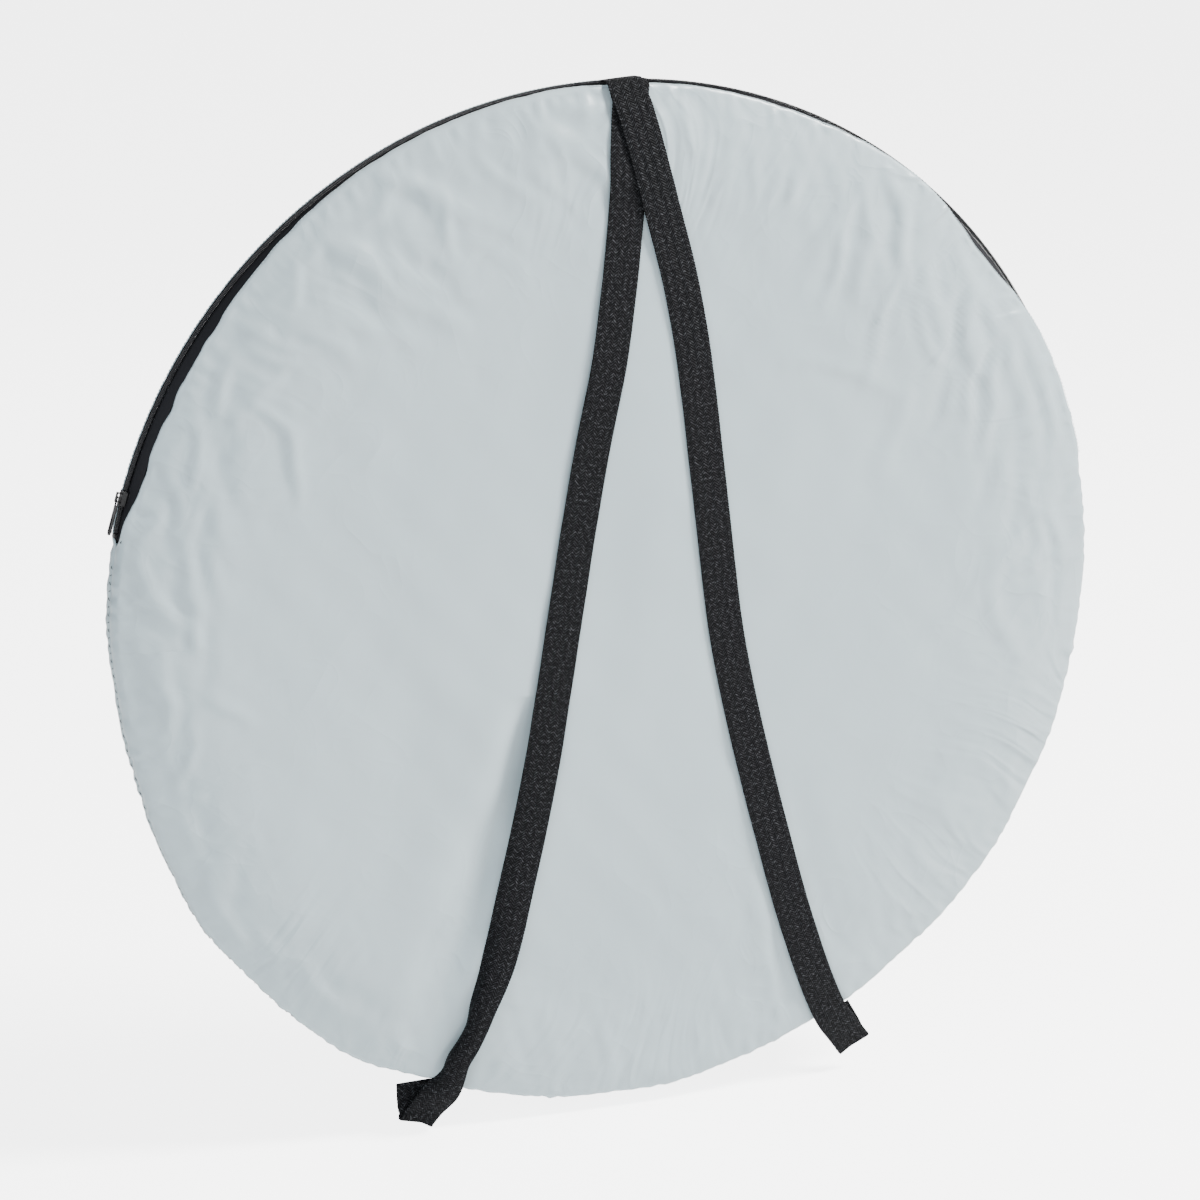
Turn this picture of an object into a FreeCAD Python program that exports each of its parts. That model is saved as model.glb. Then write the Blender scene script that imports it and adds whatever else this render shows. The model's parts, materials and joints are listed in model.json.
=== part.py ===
"""Pop-up tent packed in its round carry bag.

The disc stands upright. X runs to the right, Y from the front panel to the back panel, Z up.
The origin is the top of the rim, in the zip's mid-plane, where both shoulder straps are sewn in.
Angles round the rim are counted from +X towards +Z about the disc's centre, seen from the front.
"""
import FreeCAD, Part
import math
import os
import re

import Sketcher

SIZES = {
    # the bag
    "disc_radius": (420.0, "centre of the disc to the origin, on top of the zip"),
    "rim_radius": (418.0, "outside of the bag's rim"),
    "half_depth": (25.0, "mid-plane to the flat of either panel"),
    "flat_radius": (330.0, "where a panel's flat ends"),
    "shoulder_radius": (414.0, "where a panel's slope turns into the rim"),
    "shoulder_depth": (14.2, "mid-plane to that turn"),
    "edge_depth": (12.3, "mid-plane to a panel's edge beside the zip tape"),
    "slope_bend": (330.0, "radius of a panel's slope"),
    "corner_bend": (4.6, "radius of the turn into the rim"),
    "cloth": (0.5, "thickness of the bag's fabric"),
    "seam_gap": (0.3, "mid-plane to each panel's edge at the plain seam"),
    "fold_height": (135.0, "height of the back flap's fold line above the disc's centre"),
    "fold_gap": (0.3, "half of the gap at the fold line"),
    # the zip
    "zip_arc": (156.0, "degrees of rim that the zip covers, about the top"),
    "flap_zip_arc": (142.0, "degrees of the zip that lie on the back flap"),
    "tape_edge": (0.5, "mid-plane to the near edge of a tape"),
    "tape_far_edge": (12.0, "mid-plane to the far edge of a tape"),
    "tape_radius": (417.6, "inside of the tapes"),
    "tape_cloth": (0.6, "thickness of the tapes"),
    "coil_width": (2.5, "width of one row of coil"),
    "coil_rise": (2.6, "height of the coil on its tape"),
    "coil_arc": (154.6, "degrees of coil between the end stops"),
    "slider_length": (12.0, "length of the slider along the zip"),
    "slider_width": (9.0, "width of the slider across the zip"),
    "slider_plate": (1.0, "thickness of the slider's plates"),
    "slider_play": (0.4, "clearance round the coil and the tapes"),
    "slider_place": (163.5, "angle of the slider with the zip closed"),
    "post_width": (0.7, "width of the slider's dividing post"),
    "post_start": (1.0, "middle of the slider to the near end of its post"),
    "post_end": (5.0, "middle of the slider to the far end of its post"),
    "crown_length": (8.0, "length of the crown over the slider"),
    "crown_width": (3.0, "width of the crown"),
    "crown_rise": (3.8, "height of the crown over the top plate"),
    "pull_length": (31.0, "crossbar to the end of the pull"),
    "pull_width": (6.8, "width of the pull"),
    "pull_plate": (1.2, "thickness of the pull"),
    "pull_end_bend": (3.47, "radius of the pull's rounded end"),
    "pull_slot": (10.9, "length of the straight part of the pull's hole"),
    "pull_slot_width": (3.4, "width of the pull's hole"),
    "pull_slot_bend": (1.77, "radius of the ends of the pull's hole"),
    "pull_bar": (1.4, "diameter of the pull's crossbar"),
    "pull_height": (1.7, "crossbar's axis above the slider's top plate"),
    # the straps
    "strap_width": (30.0, "width of the shoulder webbing"),
    "strap_thickness": (1.6, "thickness of the shoulder webbing"),
    "strap_gap": (0.5, "clearance between webbing and panel"),
    "thread": (0.6, "diameter of the sewing thread"),
    # the packed tent
    "bundle_radius": (398.0, "centre of the disc to the middle of the hoop bundle"),
    "coil_pitch": (7.0, "middle of the bundle to each turn of a hoop"),
    "rod": (4.5, "diameter of the hoop rods"),
    "ferrule": (6.1, "outside diameter of the hoop ferrules"),
    "ferrule_arc": (5.4, "degrees that a ferrule covers"),
    "joint_place": (36.0, "angle at which the rods' ends meet"),
    "rod_gap": (1.0, "gap between a rod's two ends inside its ferrule"),
    "sleeve_radius": (11.0, "outside of the hoop sleeve about the bundle"),
    "sleeve_cloth": (0.6, "thickness of the hoop sleeve"),
    "band_radius": (12.6, "outside of the retaining band about the bundle"),
    "band_elastic": (1.2, "thickness of the retaining band"),
    "band_arc": (3.6, "degrees of the bundle under the retaining band"),
    "canopy_radius": (374.0, "outside of the folded canopy"),
    "canopy_front": (-21.0, "front of the folded canopy"),
    "canopy_back": (-8.2, "back of the folded canopy"),
    "canopy_round": (6.0, "rounding of the folded canopy's edge"),
    "door_radius": (372.0, "outside of the folded door"),
    "door_front": (-7.5, "front of the folded door"),
    "door_back": (-1.5, "back of the folded door"),
    "door_round": (2.8, "rounding of the folded door's edge"),
    "floor_radius": (376.0, "outside of the folded groundsheet"),
    "floor_front": (-0.5, "front of the folded groundsheet"),
    "floor_back": (14.0, "back of the folded groundsheet"),
    "floor_round": (6.5, "rounding of the folded groundsheet's edge"),
    "pouch_width": (96.0, "width of the peg pouch"),
    "pouch_length": (214.0, "length of the peg pouch"),
    "pouch_depth": (8.8, "depth of the peg pouch"),
    "pouch_cloth": (0.8, "thickness of the pouch's walls"),
    "pouch_front": (14.8, "mid-plane to the front of the pouch"),
    "pouch_height": (-70.0, "middle of the pouch above the disc's centre"),
    "peg": (3.5, "diameter of the peg wire"),
    "peg_length": (175.0, "length of a peg"),
    "peg_hook": (9.0, "reach of a peg's hook"),
    "peg_spacing": (14.0, "middle to middle of two pegs"),
    "peg_count": (6.0, "pegs in the pouch"),
}

doc = FreeCAD.newDocument("popup_tent")
sheet = doc.addObject("Spreadsheet::Sheet", "sizes")
for row, (alias, (value, note)) in enumerate(SIZES.items(), start=1):
    sheet.set(f"A{row}", note)
    sheet.set(f"B{row}", str(value))
    sheet.setAlias(f"B{row}", alias)
doc.recompute()

SUB_PARTS = []


def size(alias):
    """A driving dimension, as the sheet holds it."""
    return float(sheet.get(alias))


def number(text):
    """The value of an expression written in the sheet's own words."""
    return float(sheet.evalExpression(text))


def linked(text):
    """The same expression for an object outside the sheet."""
    return re.sub(r"[a-z_]+", lambda word: f"sizes.{word[0]}" if word[0] in SIZES else word[0], text)


# ---------------------------------------------------------------- bodies, sketches and features


def new_body(name):
    """An empty body whose origin is the disc's centre."""
    body = doc.addObject("PartDesign::Body", name)
    body.Label = name
    body.AllowCompound = True
    body.setExpression("Placement.Base.z", linked("-disc_radius"))
    SUB_PARTS.append(body)
    return body


def new_sketch(body, name, role):
    """A sketch on one of the body's own origin planes."""
    sketch = body.newObject("Sketcher::SketchObject", name)
    plane = next(feature for feature in body.Origin.OriginFeatures if feature.Role == role)
    sketch.AttachmentSupport = [(plane, "")]
    sketch.MapMode = "FlatFace"
    return sketch


def fix_point(sketch, geometry, end, place):
    """Hold one point of a sketch at a place given by two expressions."""
    for kind, text in zip(("DistanceX", "DistanceY"), place):
        index = sketch.addConstraint(Sketcher.Constraint(kind, -1, 1, geometry, end, number(text)))
        sketch.setExpression(f"Constraints[{index}]", linked(text))


def arc_between(start, end, radius):
    """The short arc of a signed radius: a positive one turns left on its way from start to end."""
    along = end - start
    left = FreeCAD.Vector(-along.y, along.x, 0).normalize()
    rise = math.sqrt(radius**2 - (along.Length / 2) ** 2)
    centre = (start + end) / 2 + left * math.copysign(rise, radius)
    first, last = (start, end) if radius > 0 else (end, start)
    angles = [math.atan2(point.y - centre.y, point.x - centre.x) for point in (first, last)]
    return Part.ArcOfCircle(Part.Circle(centre, FreeCAD.Vector(0, 0, 1), abs(radius)), *angles)


def add_profile(sketch, corners, bends=None):
    """A closed outline through the corners; bends gives the signed radius of the sides that are arcs."""
    bends = bends or {}
    points = [FreeCAD.Vector(number(x), number(y), 0) for x, y in corners]
    starts, ends = [], []
    for side, start in enumerate(points):
        end = points[(side + 1) % len(points)]
        if side not in bends:
            geometry = sketch.addGeometry(Part.LineSegment(start, end))
            starts.append((geometry, 1))
            ends.append((geometry, 2))
            continue
        radius = number(bends[side])
        geometry = sketch.addGeometry(arc_between(start, end, radius))
        starts.append((geometry, 1 if radius > 0 else 2))
        ends.append((geometry, 2 if radius > 0 else 1))
        index = sketch.addConstraint(Sketcher.Constraint("Radius", geometry, abs(radius)))
        sketch.setExpression(f"Constraints[{index}]", linked(f"abs({bends[side]})"))
    for side, corner in enumerate(corners):
        sketch.addConstraint(Sketcher.Constraint("Coincident", *ends[side - 1], *starts[side]))
        fix_point(sketch, *starts[side], corner)


def add_circle(sketch, centre, radius):
    """A circle whose centre and radius are expressions."""
    middle = FreeCAD.Vector(number(centre[0]), number(centre[1]), 0)
    circle = Part.Circle(middle, FreeCAD.Vector(0, 0, 1), number(radius))
    geometry = sketch.addGeometry(circle)
    fix_point(sketch, geometry, 3, centre)
    index = sketch.addConstraint(Sketcher.Constraint("Radius", geometry, number(radius)))
    sketch.setExpression(f"Constraints[{index}]", linked(radius))


def revolve(body, name, sketch, angle, kind="Revolution"):
    """Turn a sketch about the disc's axis, evenly to both sides of the sketch's plane."""
    feature = body.newObject(f"PartDesign::{kind}", name)
    feature.Profile = sketch
    feature.ReferenceAxis = (sketch, ["H_Axis"])
    feature.Midplane = True
    feature.setExpression("Angle", linked(angle))
    return feature


def pad(body, name, sketch, length, kind="Pad"):
    """Push a sketch out evenly to both sides of its plane."""
    feature = body.newObject(f"PartDesign::{kind}", name)
    feature.Profile = sketch
    feature.Midplane = True
    feature.setExpression("Length", linked(length))
    return feature


def rectangle(across, up):
    """The four corners of a rectangle between two pairs of expressions."""
    return [(across[0], up[0]), (across[1], up[0]), (across[1], up[1]), (across[0], up[1])]


def arc_band(name, across, radii, angle, gap_angle=None):
    """A band round the top of the rim, or its two ends where gap_angle leaves out the middle."""
    body = new_body(name)
    sketch = new_sketch(body, f"{name}_section", "YZ_Plane")
    add_profile(sketch, rectangle(across, radii))
    revolve(body, f"{name}_arc", sketch, angle)
    if gap_angle:
        opening = new_sketch(body, f"{name}_opening", "YZ_Plane")
        wide = [(f"({across[0]}) - 1", f"({across[1]}) + 1"), (f"{radii[0]} - 1", f"{radii[1]} + 1")]
        if number(across[0]) > number(across[1]):
            wide[0] = (f"({across[0]}) + 1", f"({across[1]}) - 1")
        add_profile(opening, rectangle(*wide))
        revolve(body, f"{name}_gap", opening, gap_angle, "Groove")
    return body


def ring(name, outer, inner=None, angle="360", side="-"):
    """A ring of round section about the hoop bundle, or a hollow one."""
    body = new_body(name)
    sketch = new_sketch(body, f"{name}_section", "YZ_Plane")
    centre = ("0", f"{side}bundle_radius")
    add_circle(sketch, centre, outer)
    if inner:
        add_circle(sketch, centre, inner)
    revolve(body, f"{name}_turn", sketch, angle)
    return body


# ---------------------------------------------------------------- the bag's panels


def panel_face(body, name, side):
    """A panel's flat, slope and rounded shoulder, turned all round; side is - at the front."""
    sketch = new_sketch(body, f"{name}_profile", "YZ_Plane")
    outer, inner = ("-", "") if side == "-" else ("", "-")
    corners = [
        (f"{side}half_depth", "0"),
        (f"{side}half_depth", "flat_radius"),
        (f"{side}shoulder_depth", "shoulder_radius"),
        (f"{side}edge_depth", "rim_radius"),
        (f"{side}edge_depth", "rim_radius - cloth"),
        (f"{side}(shoulder_depth - cloth)", "shoulder_radius - cloth"),
        (f"{side}(half_depth - cloth)", "flat_radius"),
        (f"{side}(half_depth - cloth)", "0"),
    ]
    bends = {
        1: f"{outer}slope_bend",
        2: f"{outer}corner_bend",
        4: f"{inner}(corner_bend - cloth)",
        5: f"{inner}(slope_bend - cloth)",
    }
    add_profile(sketch, corners, bends)
    return revolve(body, f"{name}_face", sketch, "360")


def panel_hem(body, name, side):
    """The panel's own strip of rim below the zip, up to the plain seam."""
    sketch = new_sketch(body, f"{name}_hem_section", "YZ_Plane")
    across = (f"{side}edge_depth", f"{side}seam_gap")
    add_profile(sketch, rectangle(across, ("-rim_radius", "cloth - rim_radius")))
    return revolve(body, f"{name}_hem", sketch, "360 - zip_arc")


def cut_at_fold(body, name, keep_upper):
    """Cut a panel along the horizontal fold line and keep one side of it."""
    sketch = new_sketch(body, f"{name}_fold_cut", "XZ_Plane")
    reach = "(rim_radius + 40)"
    if keep_upper:
        heights = (f"-{reach}", "fold_height + fold_gap")
    else:
        heights = ("fold_height - fold_gap", reach)
    add_profile(sketch, rectangle((f"-{reach}", reach), heights))
    return pad(body, f"{name}_fold", sketch, "4 * half_depth", "Pocket")


front_panel = new_body("front_panel")
panel_face(front_panel, "front_panel", "-")
panel_hem(front_panel, "front_panel", "-")

back_panel_lower = new_body("back_panel_lower")
panel_face(back_panel_lower, "back_panel_lower", "+")
panel_hem(back_panel_lower, "back_panel_lower", "+")
cut_at_fold(back_panel_lower, "back_panel_lower", keep_upper=False)

back_panel_upper = new_body("back_panel_upper")
panel_face(back_panel_upper, "back_panel_upper", "+")
cut_at_fold(back_panel_upper, "back_panel_upper", keep_upper=True)

# ---------------------------------------------------------------- the zip

TAPE = ("tape_radius", "tape_radius + tape_cloth")
COIL = ("tape_radius + tape_cloth", "tape_radius + tape_cloth + coil_rise")
FRONT_TAPE = ("-tape_far_edge", "-tape_edge")
BACK_TAPE = ("tape_edge", "tape_far_edge")
FRONT_COIL = ("-(tape_edge + coil_width)", "-tape_edge")
BACK_COIL = ("tape_edge", "tape_edge + coil_width")
FLAP_GAP = "flap_zip_arc + 0.6"

arc_band("zip_tape_front", FRONT_TAPE, TAPE, "zip_arc")
arc_band("zip_tape_back", BACK_TAPE, TAPE, "flap_zip_arc")
arc_band("zip_tape_back_ends", BACK_TAPE, TAPE, "zip_arc", FLAP_GAP)
arc_band("zip_coil_front", FRONT_COIL, COIL, "coil_arc")
arc_band("zip_coil_back", BACK_COIL, COIL, "flap_zip_arc")
arc_band("zip_coil_back_ends", BACK_COIL, COIL, "coil_arc", FLAP_GAP)
STOP = ("-(tape_edge + coil_width)", "tape_edge + coil_width")
arc_band("zip_end_stops", STOP, (COIL[0], f"{COIL[1]} + 0.3"), "coil_arc + 1.0", "coil_arc + 0.1")


def thread_ring(name, depth, radius, angle):
    """One line of sewing thread round part of the rim; a negative radius puts it at the bottom."""
    body = new_body(name)
    sketch = new_sketch(body, f"{name}_section", "YZ_Plane")
    add_circle(sketch, (depth, radius), "thread / 2")
    revolve(body, f"{name}_arc", sketch, angle)


STITCH_RADIUS = "tape_radius + tape_cloth + thread / 2"
thread_ring("zip_thread_front", "thread - tape_far_edge", STITCH_RADIUS, "zip_arc - 1")
thread_ring("zip_thread_back", "tape_far_edge - thread", STITCH_RADIUS, "flap_zip_arc")
thread_ring("rim_seam_thread", "0", "-(rim_radius + thread)", "358 - zip_arc")


def turned_to_slider(vector):
    """A place given for the top of the rim, turned about the disc's centre to the slider."""
    turn = FreeCAD.Rotation(FreeCAD.Vector(0, -1, 0), size("slider_place") - 90)
    centre = FreeCAD.Vector(0, 0, -size("disc_radius"))
    return FreeCAD.Placement(centre + turn.multVec(vector), turn)


COIL_TOP = COIL[1]
TOP_PLATE = f"({COIL_TOP} + slider_play)"
LOW_PLATE = "(tape_radius - slider_play - slider_plate)"


def build_slider():
    """The slider's channel, dividing post, lower plate and crown."""
    body = doc.addObject("PartDesign::Body", "zip_slider_body")
    body.Label = "zip_slider_body"
    SUB_PARTS.append(body)
    channel = new_sketch(body, "slider_channel_section", "YZ_Plane")
    wall = "(tape_edge + coil_width + slider_play)"
    rim = "(tape_radius + tape_cloth + slider_play)"
    corners = [
        ("-slider_width / 2", rim),
        (f"-{wall}", rim),
        (f"-{wall}", TOP_PLATE),
        (wall, TOP_PLATE),
        (wall, rim),
        ("slider_width / 2", rim),
        ("slider_width / 2", f"{TOP_PLATE} + slider_plate"),
        ("-slider_width / 2", f"{TOP_PLATE} + slider_plate"),
    ]
    add_profile(channel, corners)
    pad(body, "slider_channel", channel, "slider_length")
    post = new_sketch(body, "slider_post_section", "XZ_Plane")
    post_rise = (f"{LOW_PLATE} + slider_plate / 2", f"{TOP_PLATE} + slider_plate / 2")
    add_profile(post, rectangle(("post_start", "post_end"), post_rise))
    pad(body, "slider_post", post, "post_width")
    lower = new_sketch(body, "slider_lower_section", "YZ_Plane")
    half = ("-slider_width / 2", "slider_width / 2")
    add_profile(lower, rectangle(half, (LOW_PLATE, f"{LOW_PLATE} + slider_plate")))
    pad(body, "slider_lower_plate", lower, "slider_length")
    crown = new_sketch(body, "slider_crown_section", "XZ_Plane")
    foot = f"{TOP_PLATE} + slider_plate / 2"
    top = f"{TOP_PLATE} + slider_plate + crown_rise"
    add_profile(
        crown,
        [
            ("-crown_length / 2", foot),
            ("-crown_length / 2 + slider_plate", foot),
            ("-crown_length / 2 + slider_plate", f"{top} - slider_plate"),
            ("crown_length / 2 - slider_plate", f"{top} - slider_plate"),
            ("crown_length / 2 - slider_plate", foot),
            ("crown_length / 2", foot),
            ("crown_length / 2", top),
            ("-crown_length / 2", top),
        ],
    )
    solid = pad(body, "slider_crown", crown, "crown_width")
    doc.recompute()
    outer = [
        f"Edge{index}"
        for index, edge in enumerate(solid.Shape.Edges, start=1)
        if abs(edge.tangentAt(edge.FirstParameter).z) > 0.99
        and abs(abs(edge.CenterOfMass.x) - size("slider_length") / 2) < 0.01
        and abs(abs(edge.CenterOfMass.y) - size("slider_width") / 2) < 0.01
    ]
    rounding = body.newObject("PartDesign::Fillet", "slider_corners")
    rounding.Base = (solid, outer)
    rounding.Radius = 1.0
    rounding.setExpression("Radius", linked("slider_plate"))
    body.Placement = turned_to_slider(FreeCAD.Vector(0, 0, 0))


def build_pull():
    """The pull: a flat tab with two arms on a crossbar and a long round-ended hole."""
    body = doc.addObject("PartDesign::Body", "zip_pull")
    body.Label = "zip_pull"
    SUB_PARTS.append(body)
    tab = new_sketch(body, "pull_outline", "XY_Plane")
    half = "pull_width / 2"
    arm = "(pull_width / 2 - pull_plate)"
    corners = [
        ("0", f"-{half}"),
        ("0", f"-{arm}"),
        ("-pull_width", f"-{arm}"),
        ("-pull_width", arm),
        ("0", arm),
        ("0", half),
        (f"{half} - pull_length", half),
        (f"{half} - pull_length", f"-{half}"),
    ]
    add_profile(tab, corners, {6: "pull_end_bend"})
    slot_start = f"({half} - pull_length)"
    slot_sides = ("-pull_slot_width / 2", "pull_slot_width / 2")
    slot = rectangle((slot_start, f"{slot_start} + pull_slot"), slot_sides)
    add_profile(tab, slot, {1: "pull_slot_bend", 3: "pull_slot_bend"})
    pad(body, "pull_tab", tab, "pull_plate")
    bar = new_sketch(body, "pull_bar_section", "XZ_Plane")
    add_circle(bar, ("0", "0"), "pull_bar / 2")
    pad(body, "pull_crossbar", bar, "pull_width")
    height = number(f"{TOP_PLATE} + slider_plate + pull_height")
    body.Placement = turned_to_slider(FreeCAD.Vector(0, 0, height))


build_slider()
build_pull()

# ---------------------------------------------------------------- the shoulder straps


def front_depth(radius):
    """How far in front of the mid-plane the front panel's outside lies at a radius."""
    reach = max(0.0, min(radius, size("shoulder_radius")) - size("flat_radius"))
    sag = size("slope_bend") - math.sqrt(size("slope_bend") ** 2 - reach**2)
    past = max(0.0, radius - size("shoulder_radius"))
    return size("half_depth") - sag - past * 0.45


def on_panel(x, z, lift=0.0):
    """The webbing's mid-surface over the front panel; lift carries it over another strap."""
    depth = front_depth(math.hypot(x, z)) + size("strap_gap") + size("strap_thickness") / 2 + lift
    return FreeCAD.Vector(x, -depth, z)


def webbing(name, path):
    """A band of webbing along a path about the disc's centre, its width kept square to the path."""
    sections = []
    width = FreeCAD.Vector(1, 0, 0)
    for index, point in enumerate(path):
        along = path[min(index + 1, len(path) - 1)] - path[max(index - 1, 0)]
        level = FreeCAD.Vector(-along.z, 0, along.x)
        if level.Length > 0.35 * along.Length:
            level.normalize()
            width = level if level.dot(width) > 0 else -level
        out = along.cross(width).normalize()
        wide = width * (size("strap_width") / 2)
        thick = out * (size("strap_thickness") / 2)
        ring_points = [point - wide - thick, point + wide - thick, point + wide + thick, point - wide + thick]
        sections.append(Part.makePolygon(ring_points + ring_points[:1]))
    strap = doc.addObject("Part::Feature", name)
    strap.Label = name
    strap.Shape = Part.makeLoft(sections, True, True)
    strap.Placement = FreeCAD.Placement(FreeCAD.Vector(0, 0, -size("disc_radius")), FreeCAD.Rotation())
    SUB_PARTS.append(strap)


# share of the way from the rim to the fold, and depth in front of the mid-plane
LOOP_OUT = [(0.0, 16.2), (0.35, 12.9), (0.7, 8.2)]
# distance short of the fold, and depth
LOOP_FOLD = [(2.4, 5.0), (0.9, 4.7), (0.0, 3.4), (0.9, 2.1), (2.4, 1.8)]
# share of the way from the fold back to the seam, and depth
LOOP_BACK = [(0.5, 1.7), (1.0, 1.6)]


def end_loop(rim, tip, root):
    """The webbing past the rim: out to its fold and back to the seam, all three given as (x, z)."""
    start, fold_end, seam = (FreeCAD.Vector(place[0], 0, place[1]) for place in (rim, tip, root))
    outward = (fold_end - start).normalize()
    forward = FreeCAD.Vector(0, -1, 0)
    way_out = [start + (fold_end - start) * share + forward * depth for share, depth in LOOP_OUT]
    turn = [fold_end - outward * short + forward * depth for short, depth in LOOP_FOLD]
    way_back = [fold_end + (seam - fold_end) * share + forward * depth for share, depth in LOOP_BACK]
    return way_out + turn + way_back


LEFT_PATH = [
    on_panel(12, 416.5, 1.6),
    on_panel(9, 404, 0.8),
    on_panel(6, 380, 0.3),
    on_panel(3, 350),
    on_panel(0, 318),
    on_panel(-6, 256),
    on_panel(-15, 195),
    on_panel(-28, 130),
    on_panel(-39, 70),
    on_panel(-49, 7),
    on_panel(-60, -56),
    on_panel(-72, -120),
    on_panel(-86, -184),
    on_panel(-97, -235),
    on_panel(-109, -285),
    on_panel(-119, -318, 0.4),
    on_panel(-130, -345, 0.8),
    on_panel(-141, -366, 1.2),
]
RIGHT_PATH = [
    on_panel(6, 416.8, 5.2),
    on_panel(8.5, 404, 3.8),
    on_panel(14, 380, 3.0),
    on_panel(22, 350, 2.6),
    on_panel(31, 318, 2.2),
    on_panel(42, 282, 0.6),
    on_panel(53, 231),
    on_panel(63, 168),
    on_panel(71, 103),
    on_panel(79, 38),
    on_panel(88.5, -28),
    on_panel(102, -95),
    on_panel(118.5, -163),
    on_panel(137, -232),
    on_panel(151, -279),
    on_panel(162, -311),
    on_panel(173, -340, 0.4),
    on_panel(184, -363, 0.8),
]
webbing("shoulder_strap_left", LEFT_PATH + end_loop((-152, -387), (-177, -420), (-174, -388)))
webbing("shoulder_strap_right", RIGHT_PATH + end_loop((193, -377), (217, -407), (199, -376)))

# ---------------------------------------------------------------- the packed tent


def hoop_point(turn, strand):
    """The rod's centre after a number of turns: it winds once round the bundle in three turns."""
    round_disc = 2 * math.pi * turn
    round_bundle = round_disc / 3 + strand
    reach = size("bundle_radius") + size("coil_pitch") * math.cos(round_bundle)
    depth = size("coil_pitch") * math.sin(round_bundle)
    return FreeCAD.Vector(reach * math.cos(round_disc), depth, reach * math.sin(round_disc))


def rod_along(strand, first_turn, last_turn, steps, diameter):
    """A round bar that follows the wound hoop between two counts of turns."""
    turns = [first_turn + (last_turn - first_turn) * step / steps for step in range(steps + 1)]
    line = Part.BSplineCurve()
    line.interpolate([hoop_point(turn, strand) for turn in turns])
    path = Part.Wire(line.toShape())
    start, along = line.value(line.FirstParameter), line.tangent(line.FirstParameter)[0]
    circle = Part.Circle(start, along, diameter / 2)
    return path.makePipeShell([Part.Wire(circle.toShape())], True, True)


def build_hoop(name, strand):
    """One hoop rod, three turns long, and the ferrule that holds its two ends together."""
    joint = size("joint_place") / 360
    gap = size("rod_gap") / (4 * math.pi * size("bundle_radius"))
    half = size("ferrule_arc") / 720
    hoop = doc.addObject("Part::Feature", name)
    hoop.Shape = rod_along(strand, joint + gap, joint + 3 - gap, 144, size("rod"))
    ferrule = doc.addObject("Part::Feature", f"{name}_ferrule")
    tube = rod_along(strand, joint - half, joint + half, 4, size("ferrule"))
    ferrule.Shape = tube.cut(rod_along(strand, joint - 2 * half, joint + 2 * half, 8, size("rod")))
    for piece in (hoop, ferrule):
        piece.Label = piece.Name
        piece.Placement = FreeCAD.Placement(FreeCAD.Vector(0, 0, -size("disc_radius")), FreeCAD.Rotation())
        SUB_PARTS.append(piece)


build_hoop("hoop_a", 0.0)
build_hoop("hoop_b", math.pi / 3)
ring("hoop_sleeve", "sleeve_radius", "sleeve_radius - sleeve_cloth")
ring("retaining_band", "band_radius", "band_radius - band_elastic", "band_arc")


def fold(name, word):
    """A round pad of folded fabric with a rounded edge."""
    body = new_body(name)
    sketch = new_sketch(body, f"{name}_profile", "YZ_Plane")
    edge = f"{word}_radius - {word}_round"
    corners = [
        (f"{word}_front", "0"),
        (f"{word}_back", "0"),
        (f"{word}_back", edge),
        (f"{word}_back - {word}_round", f"{word}_radius"),
        (f"{word}_front + {word}_round", f"{word}_radius"),
        (f"{word}_front", edge),
    ]
    add_profile(sketch, corners, {2: f"{word}_round", 4: f"{word}_round"})
    revolve(body, f"{name}_pad", sketch, "360")


fold("canopy_fold", "canopy")
fold("door_fold", "door")
fold("groundsheet_fold", "floor")


def build_pouch():
    """The flat peg pouch, closed on three sides and open at the top."""
    outer = doc.addObject("Part::Box", "pouch_outer")
    inner = doc.addObject("Part::Box", "pouch_inner")
    for box, inset in ((outer, "0"), (inner, "pouch_cloth")):
        box.setExpression("Length", linked(f"pouch_width - 2 * {inset}"))
        box.setExpression("Width", linked(f"pouch_depth - 2 * {inset}"))
        box.setExpression("Height", linked("pouch_length"))
        box.setExpression("Placement.Base.x", linked(f"{inset} - pouch_width / 2"))
        box.setExpression("Placement.Base.y", linked(f"pouch_front + {inset}"))
        box.setExpression(
            "Placement.Base.z", linked(f"pouch_height - pouch_length / 2 + {inset} - disc_radius")
        )
    pouch = doc.addObject("Part::Cut", "peg_pouch")
    pouch.Label = "peg_pouch"
    pouch.Base = outer
    pouch.Tool = inner
    SUB_PARTS.append(pouch)


def build_pegs():
    """Wire pegs side by side in the pouch, each a shaft with a short hook at its top."""
    pegs = []
    count = int(size("peg_count"))
    middle = size("pouch_front") + size("pouch_depth") / 2
    foot = size("pouch_height") - size("peg_length") / 2 - size("disc_radius")
    up = FreeCAD.Vector(0, 0, 1)
    for index in range(count):
        side = (index - (count - 1) / 2) * size("peg_spacing")
        shaft = Part.makeCylinder(size("peg") / 2, size("peg_length"), FreeCAD.Vector(side, middle, foot), up)
        top = FreeCAD.Vector(side, middle, foot + size("peg_length") - size("peg") / 2)
        hook = Part.makeCylinder(size("peg") / 2, size("peg_hook"), top, FreeCAD.Vector(1, 0, 0))
        pegs.append(shaft.fuse(hook).removeSplitter())
    group = doc.addObject("Part::Feature", "ground_pegs")
    group.Label = "ground_pegs"
    group.Shape = Part.makeCompound(pegs)
    group.Placement = FreeCAD.Placement()
    SUB_PARTS.append(group)


build_pouch()
build_pegs()

# ---------------------------------------------------------------- check and write

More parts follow.
